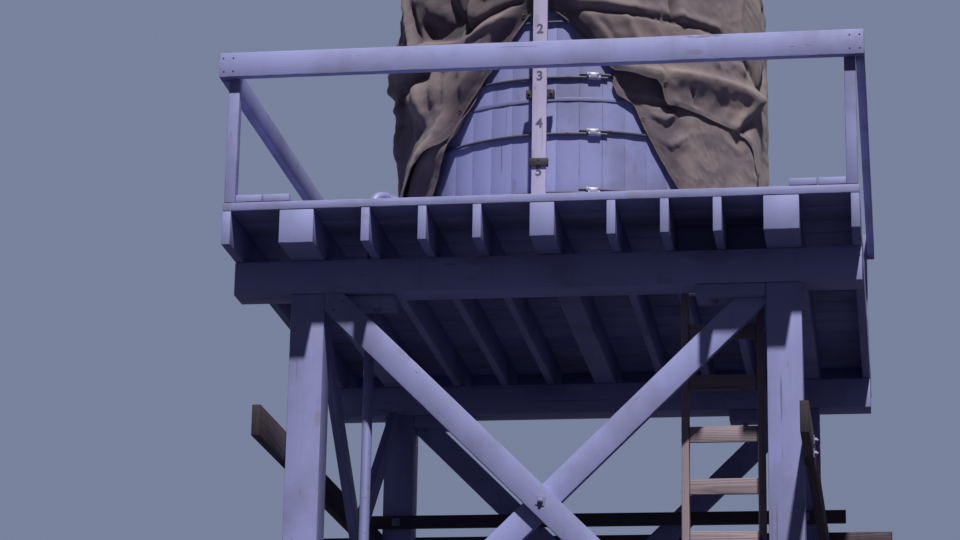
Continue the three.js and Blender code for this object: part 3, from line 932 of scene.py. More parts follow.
for i, point in enumerate(rod.data.vertices):
    wound = i // ROD_SIDES / TURN_STEPS
    point.co.z += CLIMB * (wound * (1 + OVERLAP / math.pi) - OVERLAP / (2 * math.pi) - 0.5)
clean_shell(rod)
parts = [block("lug_body", (-LUG_WIDE / 2, OUTER_FACE - LUG_DEEP, -LUG_TALL / 2),
               (LUG_WIDE / 2, OUTER_FACE, LUG_TALL / 2), ease=0.005)]
for side in (-1, 1):
    ends = [Vector((x * side, OUTER_FACE - ROD_OUT, -CLIMB / 2 * side)) for x in BOSS_ENDS]
    parts.append(round_bar("lug_boss", BOSS, ends[0], ends[1], sides=16))
    parts.append(round_bar("nut", NUT, ends[1], ends[2], sides=6, ease=0.0012))
lug = join("lug", parts)
lugs = []
for name in hoop_names:
    low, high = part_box(name)
    spot = moved(axis.x, axis.y, (low.z + high.z) / 2) @ turned(LUG_ANGLE, "Z")
    wound, cast = twin_of(rod, spot), twin_of(lug, spot)
    into_mesh(wound, cast)
    wound.name = wound.data.name = "rod_" + name
    finish_piece(wound, hoop_metal, "hoop_steel", name)
    lugs.append(cast)
finish_piece(join("hoop_lugs", lugs), lug_metal, "hoop_steel", *hoop_names)
remove(rod, lug)
print("hoops:", len(hoop_names), "of", round(2000 * ROD), "mm rod, each with a cast lug and two nuts")

# %% [markdown]
# The gauge is a white board standing on the deck with feet painted on it, 6 at the foot and 0 at the top. The
# numbers are text turned into a mesh, because a font is a ready model of every digit.

# %% Gauge board and numbers
FOOT, TOP_NUMBER, NUMBER_SIZE = 0.305, 8.468, 0.084
gauge_low, gauge_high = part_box("gauge_board")
gauge_x = (gauge_low.x + gauge_high.x) / 2
board_for("gauge_board", "Z", gauge_paint, "gauge_paint", ease=0.003, uneven_by=0.0008)
digits = []
for digit in range(7):
    select_only()
    place = (gauge_x, gauge_low.y - 0.0002, TOP_NUMBER - FOOT * digit)
    bpy.ops.object.text_add(location=place, rotation=(math.pi / 2, 0, 0))
    text = bpy.context.object.data
    text.body, text.size, text.extrude, text.offset = str(digit), NUMBER_SIZE, 0.0006, 0.0022
    text.align_x = text.align_y = "CENTER"
    text.resolution_u = 6
    bpy.ops.object.convert(target="MESH")
    digits.append(bpy.context.object)
into_mesh(*digits)
number_paint = plain("number_paint", colour(86, 82, 116), 0.7)
finish_piece(join("gauge_numbers", digits), number_paint, "gauge_paint")
print("gauge: 7 numbers a foot apart,", round(gauge_high.z - gauge_low.z, 2), "m tall")

# %% [markdown]
# A dark cross arm behind the board keeps it upright. Its stem meets the round tank, so a cylinder is cut out
# of it, and a flat strap holds it there.

# %% Cross arm and strap
ARM_DEEP, ARM_ROUND, STEM_HALF, BOLT_OUT = 0.042, 0.019, 0.032, 0.066
STRAP_THICK = 0.0034
low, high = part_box("gauge_bracket")
middle = (low.z + high.z) / 2
back = low.y + ARM_DEEP
arm = block("gauge_arm", (low.x - 0.006, low.y, low.z), (high.x + 0.006, back, high.z), ease=0.0015,
            segments=1)
with editing(arm):
    select_edges(lambda middle, way: abs(way.z) > 0.03)
    bpy.ops.mesh.bevel(offset=ARM_ROUND, segments=5, affect="EDGES")
stem = block("arm_stem", (gauge_x - STEM_HALF, back - 0.004, low.z + 0.004),
             (gauge_x + STEM_HALF, high.y, high.z - 0.004))
tank_shape = cylinder("tank_shape", tank_radius + 0.0043, 0.3, (axis.x, axis.y, low.z))
cut(stem, tank_shape)
remove(tank_shape)
bolts = [round_bar("arm_bolt", 0.009, (x, low.y + 0.004, middle), (x, low.y - 0.006, middle), sides=6)
         for x in (gauge_x - BOLT_OUT, gauge_x + BOLT_OUT)]
finish_piece(join("gauge_cross_arm", [arm, stem] + bolts), iron, "dark_iron", "gauge_bracket")

low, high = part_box("gauge_strap")
strap = cylinder("flat_strap", (high.x - low.x) / 2, high.z - low.z, (axis.x, axis.y, (low.z + high.z) / 2),
                 end_fill_type="NOTHING")
apply_modifier(strap, "SOLIDIFY", thickness=STRAP_THICK, offset=-1)
apply_modifier(strap, "BEVEL", width=0.0008, segments=2)
finish_piece(strap, strap_metal, "hoop_steel", "gauge_strap")
print("cross arm at", round(middle, 3), "m")

# %% [markdown]
# The slider drops as the tank fills. It is a channel that hugs the board, a block with the board's width cut
# out of its back and small pins through the cheeks. It rides the moving body, so it follows the joint.

# %% Slider
PIN, PIN_OUT, PIN_LONG, PIN_APART, PIN_BACK = 0.004, 0.0015, 0.006, 0.026, 0.012
EYE, EYE_DEEP, EYE_OUT, EYE_APART = 0.006, 0.002, 0.003, 0.028
low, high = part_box("indicator_plate")
left_high, right_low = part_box("indicator_cheek_left")[1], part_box("indicator_cheek_right")[0]
slider = block("gauge_slider", low, (high.x, left_high.y, high.z), ease=0.002)
room = cube("room", (left_high.x, high.y, low.z - 0.1), (right_low.x, left_high.y + 0.1, high.z + 0.1))
cut(slider, room)
remove(room)
middle, pin_y = (low.z + high.z) / 2, high.y + PIN_BACK
parts = [slider]
for x, outwards in ((low.x - PIN_OUT, -1), (high.x + PIN_OUT, 1)):
    for z in (middle - PIN_APART / 2, middle + PIN_APART / 2):
        parts.append(round_bar("pin", PIN, (x, pin_y, z), (x - outwards * PIN_LONG, pin_y, z), sides=8))
for z in (middle - EYE_APART / 2, middle + EYE_APART / 2):
    start, end = (gauge_x, low.y + EYE_DEEP, z), (gauge_x, low.y - EYE_OUT, z)
    parts.append(round_bar("eye", EYE, start, end, sides=10))
finish_piece(join("gauge_slider", parts), iron, "dark_iron", "indicator_plate", "indicator_cheek_left",
             "indicator_cheek_right", body="indicator")
print("slider:", [round(1000 * v) for v in slider.dimensions], "mm")

# %% [markdown]
# The riser is two inch pipe: lengths screwed together with couplings, an elbow above the deck, and a short
# run with a union and a flange into the tank. The elbow is the pipe's own circle, swept round a centre with
# the spin tool.

# %% Riser pipe and its branch
COUPLING, ELBOW_RADIUS, BEND, BOLT_CIRCLE = 0.037, 0.033, 0.075, 0.048
COUPLING_HALF, RUN_RISE = 0.038, 0.087
FOOT_FLANGE, FLANGE, UNION, FLANGE_BOLT = 0.07, 0.062, 0.045, 0.008
UNION_ENDS, UNION_COLLARS = (0.312, 0.348), (0.30, 0.36)
riser_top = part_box("riser_pipe")[1].z
run_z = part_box("pipe_branch")[0].z + RUN_RISE
to_tank = Vector((axis.x - PIPE_X, axis.y - PIPE_Y, 0))
run_end = to_tank.length - math.sqrt(tank_radius ** 2 - PIPE_RADIUS ** 2) - 0.0015
to_tank.normalize()


def on_pipe(out, z):
    """A place at a distance from the riser towards the tank, at a height"""
    return Vector((PIPE_X, PIPE_Y, z)) + to_tank * out


def upright(name, radius, low, high, ease=0.0015):
    return round_bar(name, radius, on_pipe(0, low), on_pipe(0, high), sides=24, ease=ease)


def level(name, radius, near, far, sides=24, ease=0.0015, shift=Vector()):
    return round_bar(name, radius, on_pipe(near, run_z) + shift, on_pipe(far, run_z) + shift, sides, ease)


parts = [upright("riser", PIPE_RADIUS, 0, riser_top + 0.004)]
parts += [upright("coupling", COUPLING, z - COUPLING_HALF, z + COUPLING_HALF, 0.004)
          for z in (1.95, 4.55, riser_top - 0.03)]
parts.append(upright("foot_flange", FOOT_FLANGE, 0.001, 0.014, 0.003))
finish_piece(join("riser", parts), pipe_metal, "pipe_paint", "riser_pipe")

elbow = disc_at(ELBOW_RADIUS, 24, on_pipe(0, riser_top))
with editing(elbow):
    bpy.ops.mesh.extrude_region_move(TRANSFORM_OT_translate={"value": (0, 0, run_z - BEND - riser_top)})
    bpy.ops.mesh.spin(steps=10, angle=math.pi / 2, center=on_pipe(BEND, run_z - BEND), axis=to_tank.cross(Z))
clean_shell(elbow)
parts = [elbow, level("run", PIPE_RADIUS, BEND - 0.01, run_end)]
collars = [(BEND + 0.012, 0.015)] + [(out, 0.012) for out in UNION_COLLARS] + [(run_end - 0.03, 0.015)]
for out, half in collars:
    parts.append(level("collar", COUPLING + 0.001, out - half, out + half, ease=0.004))
parts += [level("union", UNION, *UNION_ENDS, 6, 0.003),
          level("flange", FLANGE, run_end - 0.012, run_end - 0.001, 32, 0.002)]
for quarter in range(4):
    turn = math.pi / 4 + quarter * math.pi / 2
    shift = (Z.cross(to_tank) * math.cos(turn) + Z * math.sin(turn)) * BOLT_CIRCLE
    parts.append(level("flange_bolt", FLANGE_BOLT, run_end - 0.022, run_end - 0.01, sides=6, shift=shift))
finish_piece(join("branch", parts), pipe_metal, "pipe_paint", "pipe_branch")
print("pipe: bend of", BEND, "m,", round(run_end, 3), "m from the tank")

# %% [markdown]
# Nails hold the boards. One is modelled, with a few dozen faces, and copied to where a builder would put it,
# by a list of places and directions: two where a deck board crosses a joist, and rows along the walks.

# %% Deck nails
def facing(place, outwards):
    """A place and a turn that points local Z outwards"""
    return moved(Vector(place)) @ Vector(outwards).to_track_quat("Z", "X").to_matrix().to_4x4()


def copies(name, source, spots, finish, slot):
    """Copies a small model to every spot, each copy with its own mesh, and joins them into one piece"""
    made = [twin_of(source, spot) for spot in spots]
    into_mesh(*made)
    remove(source)
    return finish_piece(join(name, made), finish, slot)


def jitter(amount):
    return dice.uniform(-amount, amount)


def outer_spot(name, outwards):
    """The middle of the face of a node that looks outwards"""
    low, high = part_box(name)
    spot = (low + high) / 2
    i = 0 if outwards.x else 1
    spot[i] = (low if outwards[i] < 0 else high)[i]
    return spot


NAIL_SHARES, WALK_SHARES, WALK_ROWS = (0.22, 0.78), (0.13, 0.38, 0.62, 0.87), 9
nail = round_bar("nail", 0.0055, (0, 0, -0.004), (0, 0, 0.0008), sides=8, ease=0.0006)
across_deck = (["edge_joist_left", "beam_left"] + JOISTS[:3] + ["beam_middle"] + JOISTS[3:]
               + ["beam_right", "edge_joist_right"])
joist_xs = [sum(c.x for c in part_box(name)) / 2 for name in across_deck]
deck_nails = []
for i in range(BOARDS):
    for x in joist_xs:
        for share in NAIL_SHARES:
            y = deck_low.y + (i + share) * pitch + jitter(0.012)
            if not (hatch_low.x < x < hatch_high.x and hatch_low.y < y < hatch_high.y):
                deck_nails.append(facing((x + jitter(0.006), y, deck_high.z), Z))
for name in ("walk_left", "walk_right"):
    low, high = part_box(name)
    for i in range(WALK_ROWS):
        for share in WALK_SHARES:
            y = low.y + 0.06 + i * (high.y - low.y - 0.12) / (WALK_ROWS - 1) + jitter(0.01)
            deck_nails.append(facing((low.x + share * (high.x - low.x) + jitter(0.005), y, high.z), Z))
copies("deck_nails", twin_of(nail), deck_nails, iron, "dark_iron")
print("deck nails:", len(deck_nails))

# %% [markdown]
# The other nails sit in upright faces: two at each end of a rung, of a rail and of a brace, and two where the
# rim board crosses a joist.

# %% Side nails
RAIL_INSET, CORNER, NAIL_APART = 0.035, 0.033, 0.052
RAIL_END_XS = (-1.848, -1.789, 1.789, 1.848)
side_nails = []
low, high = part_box("ladder")
for i in range(RUNGS):
    z = TOP_RUNG - RUNG_TALL / 2 - i * RUNG_PITCH
    for x, outwards in ((low.x, -X), (high.x, X)):
        for d in (-NAIL_APART / 2, NAIL_APART / 2):
            side_nails.append(facing((x, low.y + 0.016 + jitter(0.002), z + d + jitter(0.003)), outwards))
rail_nails = (rail_low.z + RAIL_INSET, rail_high.z - RAIL_INSET)
for x in RAIL_END_XS:
    for z in rail_nails:
        side_nails.append(facing((x + jitter(0.004), rail_low.y, z), -Y))
for side in (-1, 1):
    for y in (deck_low.y + CORNER, deck_high.y - CORNER):
        for z in rail_nails:
            side_nails.append(facing((side * rail_high.x, y + jitter(0.004), z), X * side))
for side, (outwards, across, rising) in SIDES.items():
    name = f"brace_{side}_outer"
    low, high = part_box(name)
    run, climb = (high - low).dot(across), high.z - low.z
    way = (across * run * rising + Z * climb).normalized()
    for end in (-1, 1):
        for d in (-0.035, 0.035):
            shift = way * end * (math.hypot(run, climb) / 2 - 0.11) + way.cross(outwards) * d
            side_nails.append(facing(outer_spot(name, outwards) + shift, outwards))
rim = outer_spot("rim_back", Y)
for x in joist_xs:
    for d in (-0.06, 0.06):
        side_nails.append(facing((x + jitter(0.006), rim.y, rim.z + d + jitter(0.006)), Y))
copies("side_nails", nail, side_nails, iron, "dark_iron")
print("side nails:", len(side_nails))

# %% [markdown]
# A bolt shows as a square washer, a nut and the end of its shank. One goes through each crossing of two
# braces, and others hold the side planks, the back bars and the bolsters.

# %% Bolts
POST_X, BOLSTER_BOLTS = 1.383, (-0.985, -1.21, 0.985, 1.21)
WASHER, SHANK, WASHER_FACE, NUT_FACE, SHANK_END = 0.052, 0.0085, 0.004, 0.017, 0.025
PLANK_BOLT_Y, PLANK_BOLT_Z = 0.03, 0.045
washer = block("washer", (-WASHER / 2, -WASHER / 2, -0.001), (WASHER / 2, WASHER / 2, WASHER_FACE),
               ease=0.001, segments=1)
bolt = join("bolt", [washer, round_bar("nut", NUT, Z * WASHER_FACE, Z * NUT_FACE, sides=6, ease=0.001),
                     round_bar("shank", SHANK, Z * 0.01, Z * SHANK_END, sides=10, ease=0.001)])
spots = []
for side, (outwards, _, _) in SIDES.items():
    for name, tie in ((f"brace_{side}_outer", 0), ("brace_lower_" + side, TIE_DEPTH)):
        crossing = outer_spot(name, outwards) - Z * tie / 2
        spots.append(facing(crossing, outwards) @ turned(math.radians(jitter(12)), "Z"))
for name, outwards in (("side_plank_left", -X), ("side_plank_right", X)):
    plank = outer_spot(name, outwards)
    for end in ("front", "back"):
        y = sum(c.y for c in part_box(f"post_{end}_left")) / 2
        for d in (-1, 1):
            spots.append(facing((plank.x, y + PLANK_BOLT_Y * d, plank.z + PLANK_BOLT_Z * d), outwards))
for name, outwards in (("back_bar_lower", Y), ("back_bar_upper", -Y)):
    bar = outer_spot(name, outwards)
    spots += [facing((x, bar.y, bar.z), outwards) for x in (-POST_X, POST_X)]
for end in ("front", "back"):
    low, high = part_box("girder_" + end)
    spots += [facing((x, (low.y + high.y) / 2, low.z), -Z) for x in BOLSTER_BOLTS]
copies("bolts", bolt, spots, bolt_metal, "dark_iron")
print("bolts:", len(spots))

# %% [markdown]
# The canvas cover is two sheets. The upper one hangs from the roof, its front edge caught up into an
# upside-down V behind the gauge. The lower one goes round the staves like a skirt. A simulation would let
# every fold fall by chance, so the folds are laid where the photograph shows them, and small creases lie
# between them. A fold is a line of places, each an angle round the tank from the front and a height above the
# deck's underside, with a width and a rise. This cell turns such lines into distances from the axis.

# %% Folds as lines on the tank
WRAP = 1.17


def unrolled(angle):
    """Degrees round the tank as metres on the unrolled wall"""
    return np.radians(angle) * WRAP


def between(values, places):
    """Values read off a curve that is given by a few places"""
    return np.interp(values, *zip(*places))


def smooth(values, low, high):
    share = np.clip((values - low) / (high - low), 0, 1)
    return share * share * (3 - 2 * share)


def distance_to(line, along, height):
    """How far each grid point is from a fold line, and how much higher, the wrap taken into account"""
    full = 2 * math.pi * WRAP
    nearest, higher = np.full(along.shape, 9.0), np.zeros(along.shape)
    for (angle, y0), (next_angle, y1) in zip(line[:-1], line[1:]):
        x0 = unrolled(angle)
        dx, dy = unrolled(next_angle) - x0, y1 - y0
        side = (along - x0 + full / 2) % full - full / 2
        share = np.clip((side * dx + (height - y0) * dy) / (dx * dx + dy * dy + 1e-12), 0, 1)
        above = height - y0 - share * dy
        here = np.hypot(side - share * dx, above)
        higher = np.where(here < nearest, above, higher)
        nearest = np.minimum(nearest, here)
    return nearest, higher


def folded(along, height, folds):
    """Adds each fold: a rounded ridge where its rise is positive, a valley where it is negative. A fourth
    number makes the side below the line steeper, under 1, or gentler, over 1"""
    total = np.zeros(along.shape)
    for line, width, rise, *lower in folds:
        near, higher = distance_to(line, along, height)
        if lower:
            width = width * (1 + (lower[0] - 1) * (0.5 - 0.5 * higher / (near + 1e-6)))
        near = near / width
        total += rise / (1 + near ** 2 * (0.6 + near))
    return total


def seeded_folds(count, first, last, top, bottom, rise):
    """Hanging folds by chance between two angles, from near the top towards the hem"""
    folds = []
    for i in range(count):
        angle = first + (last - first) * (i + dice.uniform(0.2, 0.8)) / count
        low = bottom + dice.uniform(0, 0.5) * (top - bottom)
        high = top - dice.uniform(0, 0.4) * (top - bottom)
        line = [(angle, high), (angle + dice.uniform(-6, 6), (high + low) / 2)]
        line.append((angle + dice.uniform(-13, 13), low))
        folds.append((line, dice.uniform(0.03, 0.06), rise * dice.choice((-0.8, 1)) * dice.uniform(0.6, 1.2)))
    return folds


print("fold helpers ready; unrolled wall:", round(unrolled(360), 2), "m")

# %% [markdown]
# The upper sheet's hem is a curve of angles and heights, with the V in front as part of it. The folds that
# the photograph shows are listed for the right and the left of the gauge. The rest come from seeded dice.

# %% Upper sheet: hem and folds
UPPER_HEM = [
    (-190, 0.94), (-170, 0.94), (-150, 0.80), (-130, 0.50), (-118, 0.16), (-110, 0.12), (-66, 0.12),
    (-62, 0.20), (-58, 0.36), (-54.6, 0.505), (-52, 0.594), (-49, 0.661), (-44.8, 0.70), (-39.4, 0.745),
    (-37.4, 0.78), (-35.6, 0.83), (-32.4, 0.93), (-27, 1.045), (-23.4, 1.135), (-21, 1.18), (-14.2, 1.365),
    (-9.1, 1.495), (-7, 1.52), (-4, 1.525), (-1.2, 1.515), (0.6, 1.50), (3.2, 1.455), (7.5, 1.359),
    (11.6, 1.28), (15, 1.205), (16.6, 1.16), (18.6, 1.13), (23.5, 1.095), (31, 1.07), (32.5, 1.03),
    (33.5, 0.965), (34.8, 0.93), (40, 0.93), (44.2, 0.92), (53, 0.90), (60, 0.89), (66, 0.86), (70, 0.78),
    (73.5, 0.6), (76.5, 0.35), (80, 0.16), (112, 0.14), (125, 0.45), (140, 0.85), (160, 0.98), (175, 0.98),
    (190, 0.94)]
FOLDS_RIGHT = [
    ([(5.6, 1.466), (13.2, 1.295), (16, 1.2)], 0.026, 0.03),
    ([(1.8, 1.467), (11.1, 1.293)], 0.018, -0.016),
    ([(1.4, 1.504), (18.3, 1.486), (29.3, 1.476), (41.6, 1.479), (53.3, 1.485), (64, 1.42)], 0.018, -0.02),
    ([(6, 1.55), (13, 1.545), (22, 1.52)], 0.05, 0.03, 0.5),
    ([(24, 1.53), (41, 1.525), (54, 1.525)], 0.035, 0.013, 0.6),
    ([(36.3, 1.68), (36.8, 1.49)], 0.018, -0.05),
    ([(39.5, 1.68), (40, 1.51)], 0.03, 0.022),
    ([(65, 1.8), (63.4, 1.6), (66, 1.3)], 0.03, 0.026),
    ([(21.7, 1.456), (25.3, 1.326), (33, 1.2)], 0.03, 0.022),
    ([(14, 1.43), (19, 1.3)], 0.025, -0.018),
    ([(22, 1.26), (27, 1.1)], 0.11, -0.03),
    ([(48, 1.43), (54, 1.28)], 0.03, 0.018),
    ([(56, 1.44), (72, 1.3), (82, 1.12)], 0.03, -0.02),
    ([(19, 1.13), (25.3, 1.13), (33.5, 1.12), (43.2, 1.138), (53.2, 1.152), (62, 1.158), (73, 1.165)],
     0.042, 0.06, 2.2),
    ([(73.5, 1.15), (69, 1.06), (64.2, 0.973), (61.6, 0.902)], 0.028, 0.026),
    ([(66, 0.91), (71, 1.0)], 0.024, -0.022),
    ([(43, 1.07), (45, 0.97)], 0.016, -0.022),
    ([(36, 1.05), (37.5, 0.95)], 0.02, 0.012),
    ([(68, 0.85), (72, 0.6), (69, 0.3)], 0.04, 0.026),
    ([(80, 0.85), (84, 0.5), (80, 0.2)], 0.05, -0.02)]
FOLDS_LEFT = [
    ([(-39, 1.8), (-39, 1.698), (-34.1, 1.563), (-30, 1.47)], 0.05, -0.05),
    ([(-47, 1.505), (-41, 1.478), (-36, 1.462)], 0.11, -0.09, 0.3),
    ([(-30.2, 1.72), (-31.4, 1.549), (-29.2, 1.449)], 0.02, -0.03),
    ([(-25.5, 1.72), (-26.8, 1.634), (-29.2, 1.485)], 0.026, 0.034),
    ([(-29.2, 1.449), (-21.9, 1.507), (-15.1, 1.546), (-10.8, 1.575)], 0.02, -0.034),
    ([(-28, 1.383), (-19.8, 1.445), (-10.8, 1.49)], 0.034, 0.036),
    ([(-19.9, 1.332), (-12.8, 1.407)], 0.014, -0.016),
    ([(-66, 1.9), (-64.9, 1.804), (-56.2, 1.493)], 0.034, 0.036),
    ([(-59.3, 1.78), (-52.4, 1.476)], 0.026, -0.034),
    ([(-50.9, 1.602), (-42.5, 1.467), (-33.9, 1.419)], 0.032, -0.05),
    ([(-48, 1.425), (-33.9, 1.37)], 0.03, 0.036),
    ([(-79, 1.46), (-60, 1.43), (-49, 1.405)], 0.06, 0.045),
    ([(-82, 1.72), (-82, 1.45)], 0.08, 0.03),
    ([(-82, 1.36), (-79, 1.29), (-77, 1.2)], 0.05, 0.065),
    ([(-69, 1.30), (-66, 1.2)], 0.035, 0.03),
    ([(-84, 1.13), (-76, 1.11)], 0.03, -0.02),
    ([(-80, 1.285), (-60.5, 1.262), (-47.8, 1.248)], 0.05, -0.055),
    ([(-53.5, 1.2), (-48, 0.98)], 0.06, 0.035),
    ([(-57, 1.12), (-49, 1.1), (-42, 1.12)], 0.1, 0.024),
    ([(-41.4, 1.22), (-43.1, 1.04)], 0.026, 0.016),
    ([(-39.4, 1.22), (-39.8, 1.0)], 0.018, -0.018),
    ([(-33, 1.15), (-36, 0.95)], 0.02, -0.014),
    ([(-72, 1.13), (-66, 1.03), (-63, 0.96), (-67, 0.88), (-72, 0.76), (-77, 0.6), (-80, 0.3)], 0.19,
     -0.06),
    ([(-62, 1.2), (-55, 1.075), (-51.3, 0.98), (-54.5, 0.925)], 0.03, 0.015),
    ([(-37.8, 0.81), (-39.8, 0.77), (-44.8, 0.72), (-49, 0.68), (-52.2, 0.61), (-54.9, 0.52), (-58.3, 0.37),
      (-62.5, 0.2)], 0.085, 0.06)]
UPPER_FOLDS = FOLDS_RIGHT + FOLDS_LEFT + seeded_folds(26, 84, 272, 2.0, 0.6, 0.035)
UPPER_FOLDS += seeded_folds(8, -25, 60, 2.05, 1.6, 0.02) + seeded_folds(5, -95, -66, 2.0, 1.5, 0.025)
print("upper sheet:", len(UPPER_FOLDS), "folds")

# %% [markdown]
# Both sheets are grids that are laid by numbers, so they share a few steps: places on the tank, small
# creases, room kept from the staves, the flat lay of the cloth as a UV map, and the thickness at the end.

# %% From a field to a sheet
DECK_UNDER = deck_low.z
EAVES = roof_low.z + ROOF_THICK - DECK_UNDER
PEAK = roof_high.z - DECK_UNDER
CLOTH_THICK, CREASE = 0.005, 0.010
ON_WALL = 1.0955


def outwards_at(turn):
    return np.stack([np.sin(np.radians(turn)), -np.cos(np.radians(turn)), 0 * turn], axis=-1)


def on_tank(turn, radius, height):
    """Places from angles in degrees, distances from the axis and heights above the deck's underside"""
    angle = np.radians(turn)
    points = (axis.x + radius * np.sin(angle), axis.y - radius * np.cos(angle), DECK_UNDER + height)
    return np.stack(np.broadcast_arrays(*points), axis=-1)


def creased(places, turn, size, strength):
    """Adds small creases: sharp where two smooth waves meet, the same at both ends of the wrap"""
    points = [Vector(point) for point in places.reshape(-1, 3)]
    waves = [1.45 - 1.6 * abs(noise_at(p / size))
             - 0.72 * abs(noise_at(p / (0.45 * size) + Vector((7, 3, 5)))) for p in points]
    depth = (np.array(waves).reshape(places.shape[:2]) - 1) * CREASE * strength
    return places + outwards_at(turn) * depth[..., None]


def from_axis(places):
    return np.hypot(places[..., 0] - axis.x, places[..., 1] - axis.y)


def clear_of(places, turn, least):
    """Keeps the sheet at least so far from the axis"""
    distance = from_axis(places)
    return places + outwards_at(turn) * (np.maximum(distance, least) - distance)[..., None]


def tucked_under(piece, places, turn, room):
    """Draws places in towards the axis where the sheet over them leaves less room than this"""
    skin = BVHTree.FromObject(piece, bpy.context.evaluated_depsgraph_get())
    outwards, wanted = outwards_at(turn), from_axis(places)
    kept = places.copy()
    for spot in np.ndindex(places.shape[:2]):
        start = Vector((axis.x, axis.y, places[spot][2]))
        hit, _, _, distance = skin.ray_cast(start, Vector(outwards[spot]))
        if hit and distance - room < wanted[spot]:
            kept[spot] += outwards[spot] * (distance - room - wanted[spot])
    return kept


def sheet_of(name, places, lay, hem_distance, fold):
    """A grid whose points are placed by rows and columns, with the flat lay of the cloth as its UV map"""
    rows, columns = places.shape[:2]
    select_only()
    bpy.ops.mesh.primitive_grid_add(x_subdivisions=columns - 1, y_subdivisions=rows - 1, size=1)
    piece = bpy.context.object
    piece.name = piece.data.name = name
    piece.data.vertices.foreach_set("co", places.reshape(-1))
    corner_points = np.empty(len(piece.data.loops), int)
    piece.data.loops.foreach_get("vertex_index", corner_points)
    piece.data.uv_layers.active.data.foreach_set("uv", lay.reshape(-1, 2)[corner_points].reshape(-1))
    for label, values in (("hem", hem_distance), ("fold", fold)):
        made = piece.data.attributes.new(label, "FLOAT", "POINT")
        made.data.foreach_set("value", values.astype(np.float32).ravel())
    piece.data.update()
    return piece


def closed(piece):
    """Merges the wrap's ends, turns the faces outwards, gives the cloth thickness and tells its area"""
    area = sum(face.area for face in piece.data.polygons)
    clean_shell(piece)
    apply_modifier(piece, "SOLIDIFY", thickness=CLOTH_THICK, offset=-1)
    print(piece.name, "has", len(piece.data.polygons), "faces and", round(area, 2), "square metres")
    return area


print("eaves", round(EAVES, 3), "m and peak", round(PEAK, 3), "m above the deck's underside")

# %% [markdown]
# How far the upper sheet stands from the tank's axis is one formula of angle and height: a gentle flare,
# wider at the right where it is bunched, the folds, and two places where it lies closer, along the V and
# behind the gauge.

# %% Upper sheet: its distance from the axis
FLARE = [(0.3, 1.175), (0.9, 1.172), (1.2, 1.176), (1.5, 1.178), (1.8, 1.172), (1.95, 1.152), (2.05, 1.128),
         (EAVES, 1.108)]
HUGGING = [(-44, 1.112), (-36, 1.108), (-24, 1.108), (-20, 1.098), (12, 1.098), (16, 1.107)]
GAUGE_ANGLE, BEHIND_GAUGE, BUNCHED = -4.2, 1.165, 0.06
HEM_BAND, EAVES_BAND = 0.12, 0.22


def hem_gap(turn, height):
    """How far a place on the upper sheet is from its hem"""
    slope = (between(turn + 0.5, UPPER_HEM) - between(turn - 0.5, UPPER_HEM)) / unrolled(1)
    return np.maximum(height - between(turn, UPPER_HEM), 0) / np.hypot(1, slope)


def upper_field(turn, height):
    """How far the upper sheet stands from the axis at each angle and height"""
    loose = smooth(EAVES - height, 0.0, EAVES_BAND)
    reach = between(height, FLARE) + BUNCHED * smooth(turn, 50, 80) * (1 - smooth(turn, 105, 140)) * loose
    reach = reach + loose * folded(unrolled(turn) + 0 * height, height, UPPER_FOLDS)
    near_hem = 1 - smooth(hem_gap(turn, height), 0.0, HEM_BAND)
    hug = near_hem * smooth(turn, -44, -34) * (1 - smooth(turn, 17, 25))
    reach = reach * (1 - hug) + between(turn, HUGGING) * hug
    behind_board = 1 - smooth(np.abs(turn - GAUGE_ANGLE), 5.5, 12)
    return np.minimum(reach, reach * (1 - behind_board) + BEHIND_GAUGE * behind_board)


at_right = upper_field(np.array([60]), np.array([1.4]))[0]
print("at the right the sheet stands", round(float(at_right), 3), "m out")

# %% [markdown]
# The upper sheet starts as a flat grid. Its columns become directions from the peak, and its rows run from
# the peak down the roof and the wall to the hem, so the threads run down the sheet beside the V too.

# %% Upper sheet: the mesh
COLUMNS, ROOF_ROWS, WALL_ROWS = 320, 22, 132
FRONT, FRONT_SHARE = (-92, 90), 0.7
ROOF_REACH, OVER_EAVES = 1.104, 1.156
LIFT, SLOPE, RIPPLE, UPPER_CREASES = 0.009, 1.047, 0.012, 0.16

before = (1 - FRONT_SHARE) * (FRONT[0] + 180) / (360 - FRONT[1] + FRONT[0])
shares = (0, before, before + FRONT_SHARE, 1)
turn = np.interp(np.linspace(0, 1, COLUMNS), shares, (-180, *FRONT, 180))[None, :]
down = np.linspace(0, 1, WALL_ROWS)[:, None]
height = EAVES - down * (EAVES - between(turn, UPPER_HEM))
radius = upper_field(turn, height)
roof_radii = np.linspace(0.0, ROOF_REACH, ROOF_ROWS)[:-1, None] + 0 * turn
ripple = RIPPLE * smooth(roof_radii, 0.1, 0.5) * (1 + np.sin(np.radians(turn) * 11 + 6 * roof_radii)) / 2
roof_height = PEAK - roof_radii / roof_radius * (PEAK - EAVES) + LIFT + ripple
wall = on_tank(turn, radius, height + LIFT * (1 - down))
places = np.concatenate([on_tank(turn, roof_radii, roof_height), wall])
loose = np.concatenate([0 * roof_radii, smooth(EAVES - height, 0.0, EAVES_BAND)])
places = creased(places, turn, UPPER_CREASES, loose)
least = between(height, [(1.75, 1.097), (1.9, 1.1075)])
places[ROOF_ROWS - 1:] = clear_of(places[ROOF_ROWS - 1:], turn, least)
run = np.concatenate([roof_radii * SLOPE, OVER_EAVES + EAVES - height])
hem_distance = np.concatenate([1 + 0 * roof_radii, hem_gap(turn, height)])
# The fold depth also goes to the canvas finish, which paints highlight and shade from it
fold = np.concatenate([0 * roof_radii, radius - between(height, FLARE)])
upper = sheet_of("canvas_top", places, np.stack([unrolled(turn) + 0 * run, run], axis=-1), hem_distance, fold)
upper_area = closed(upper)
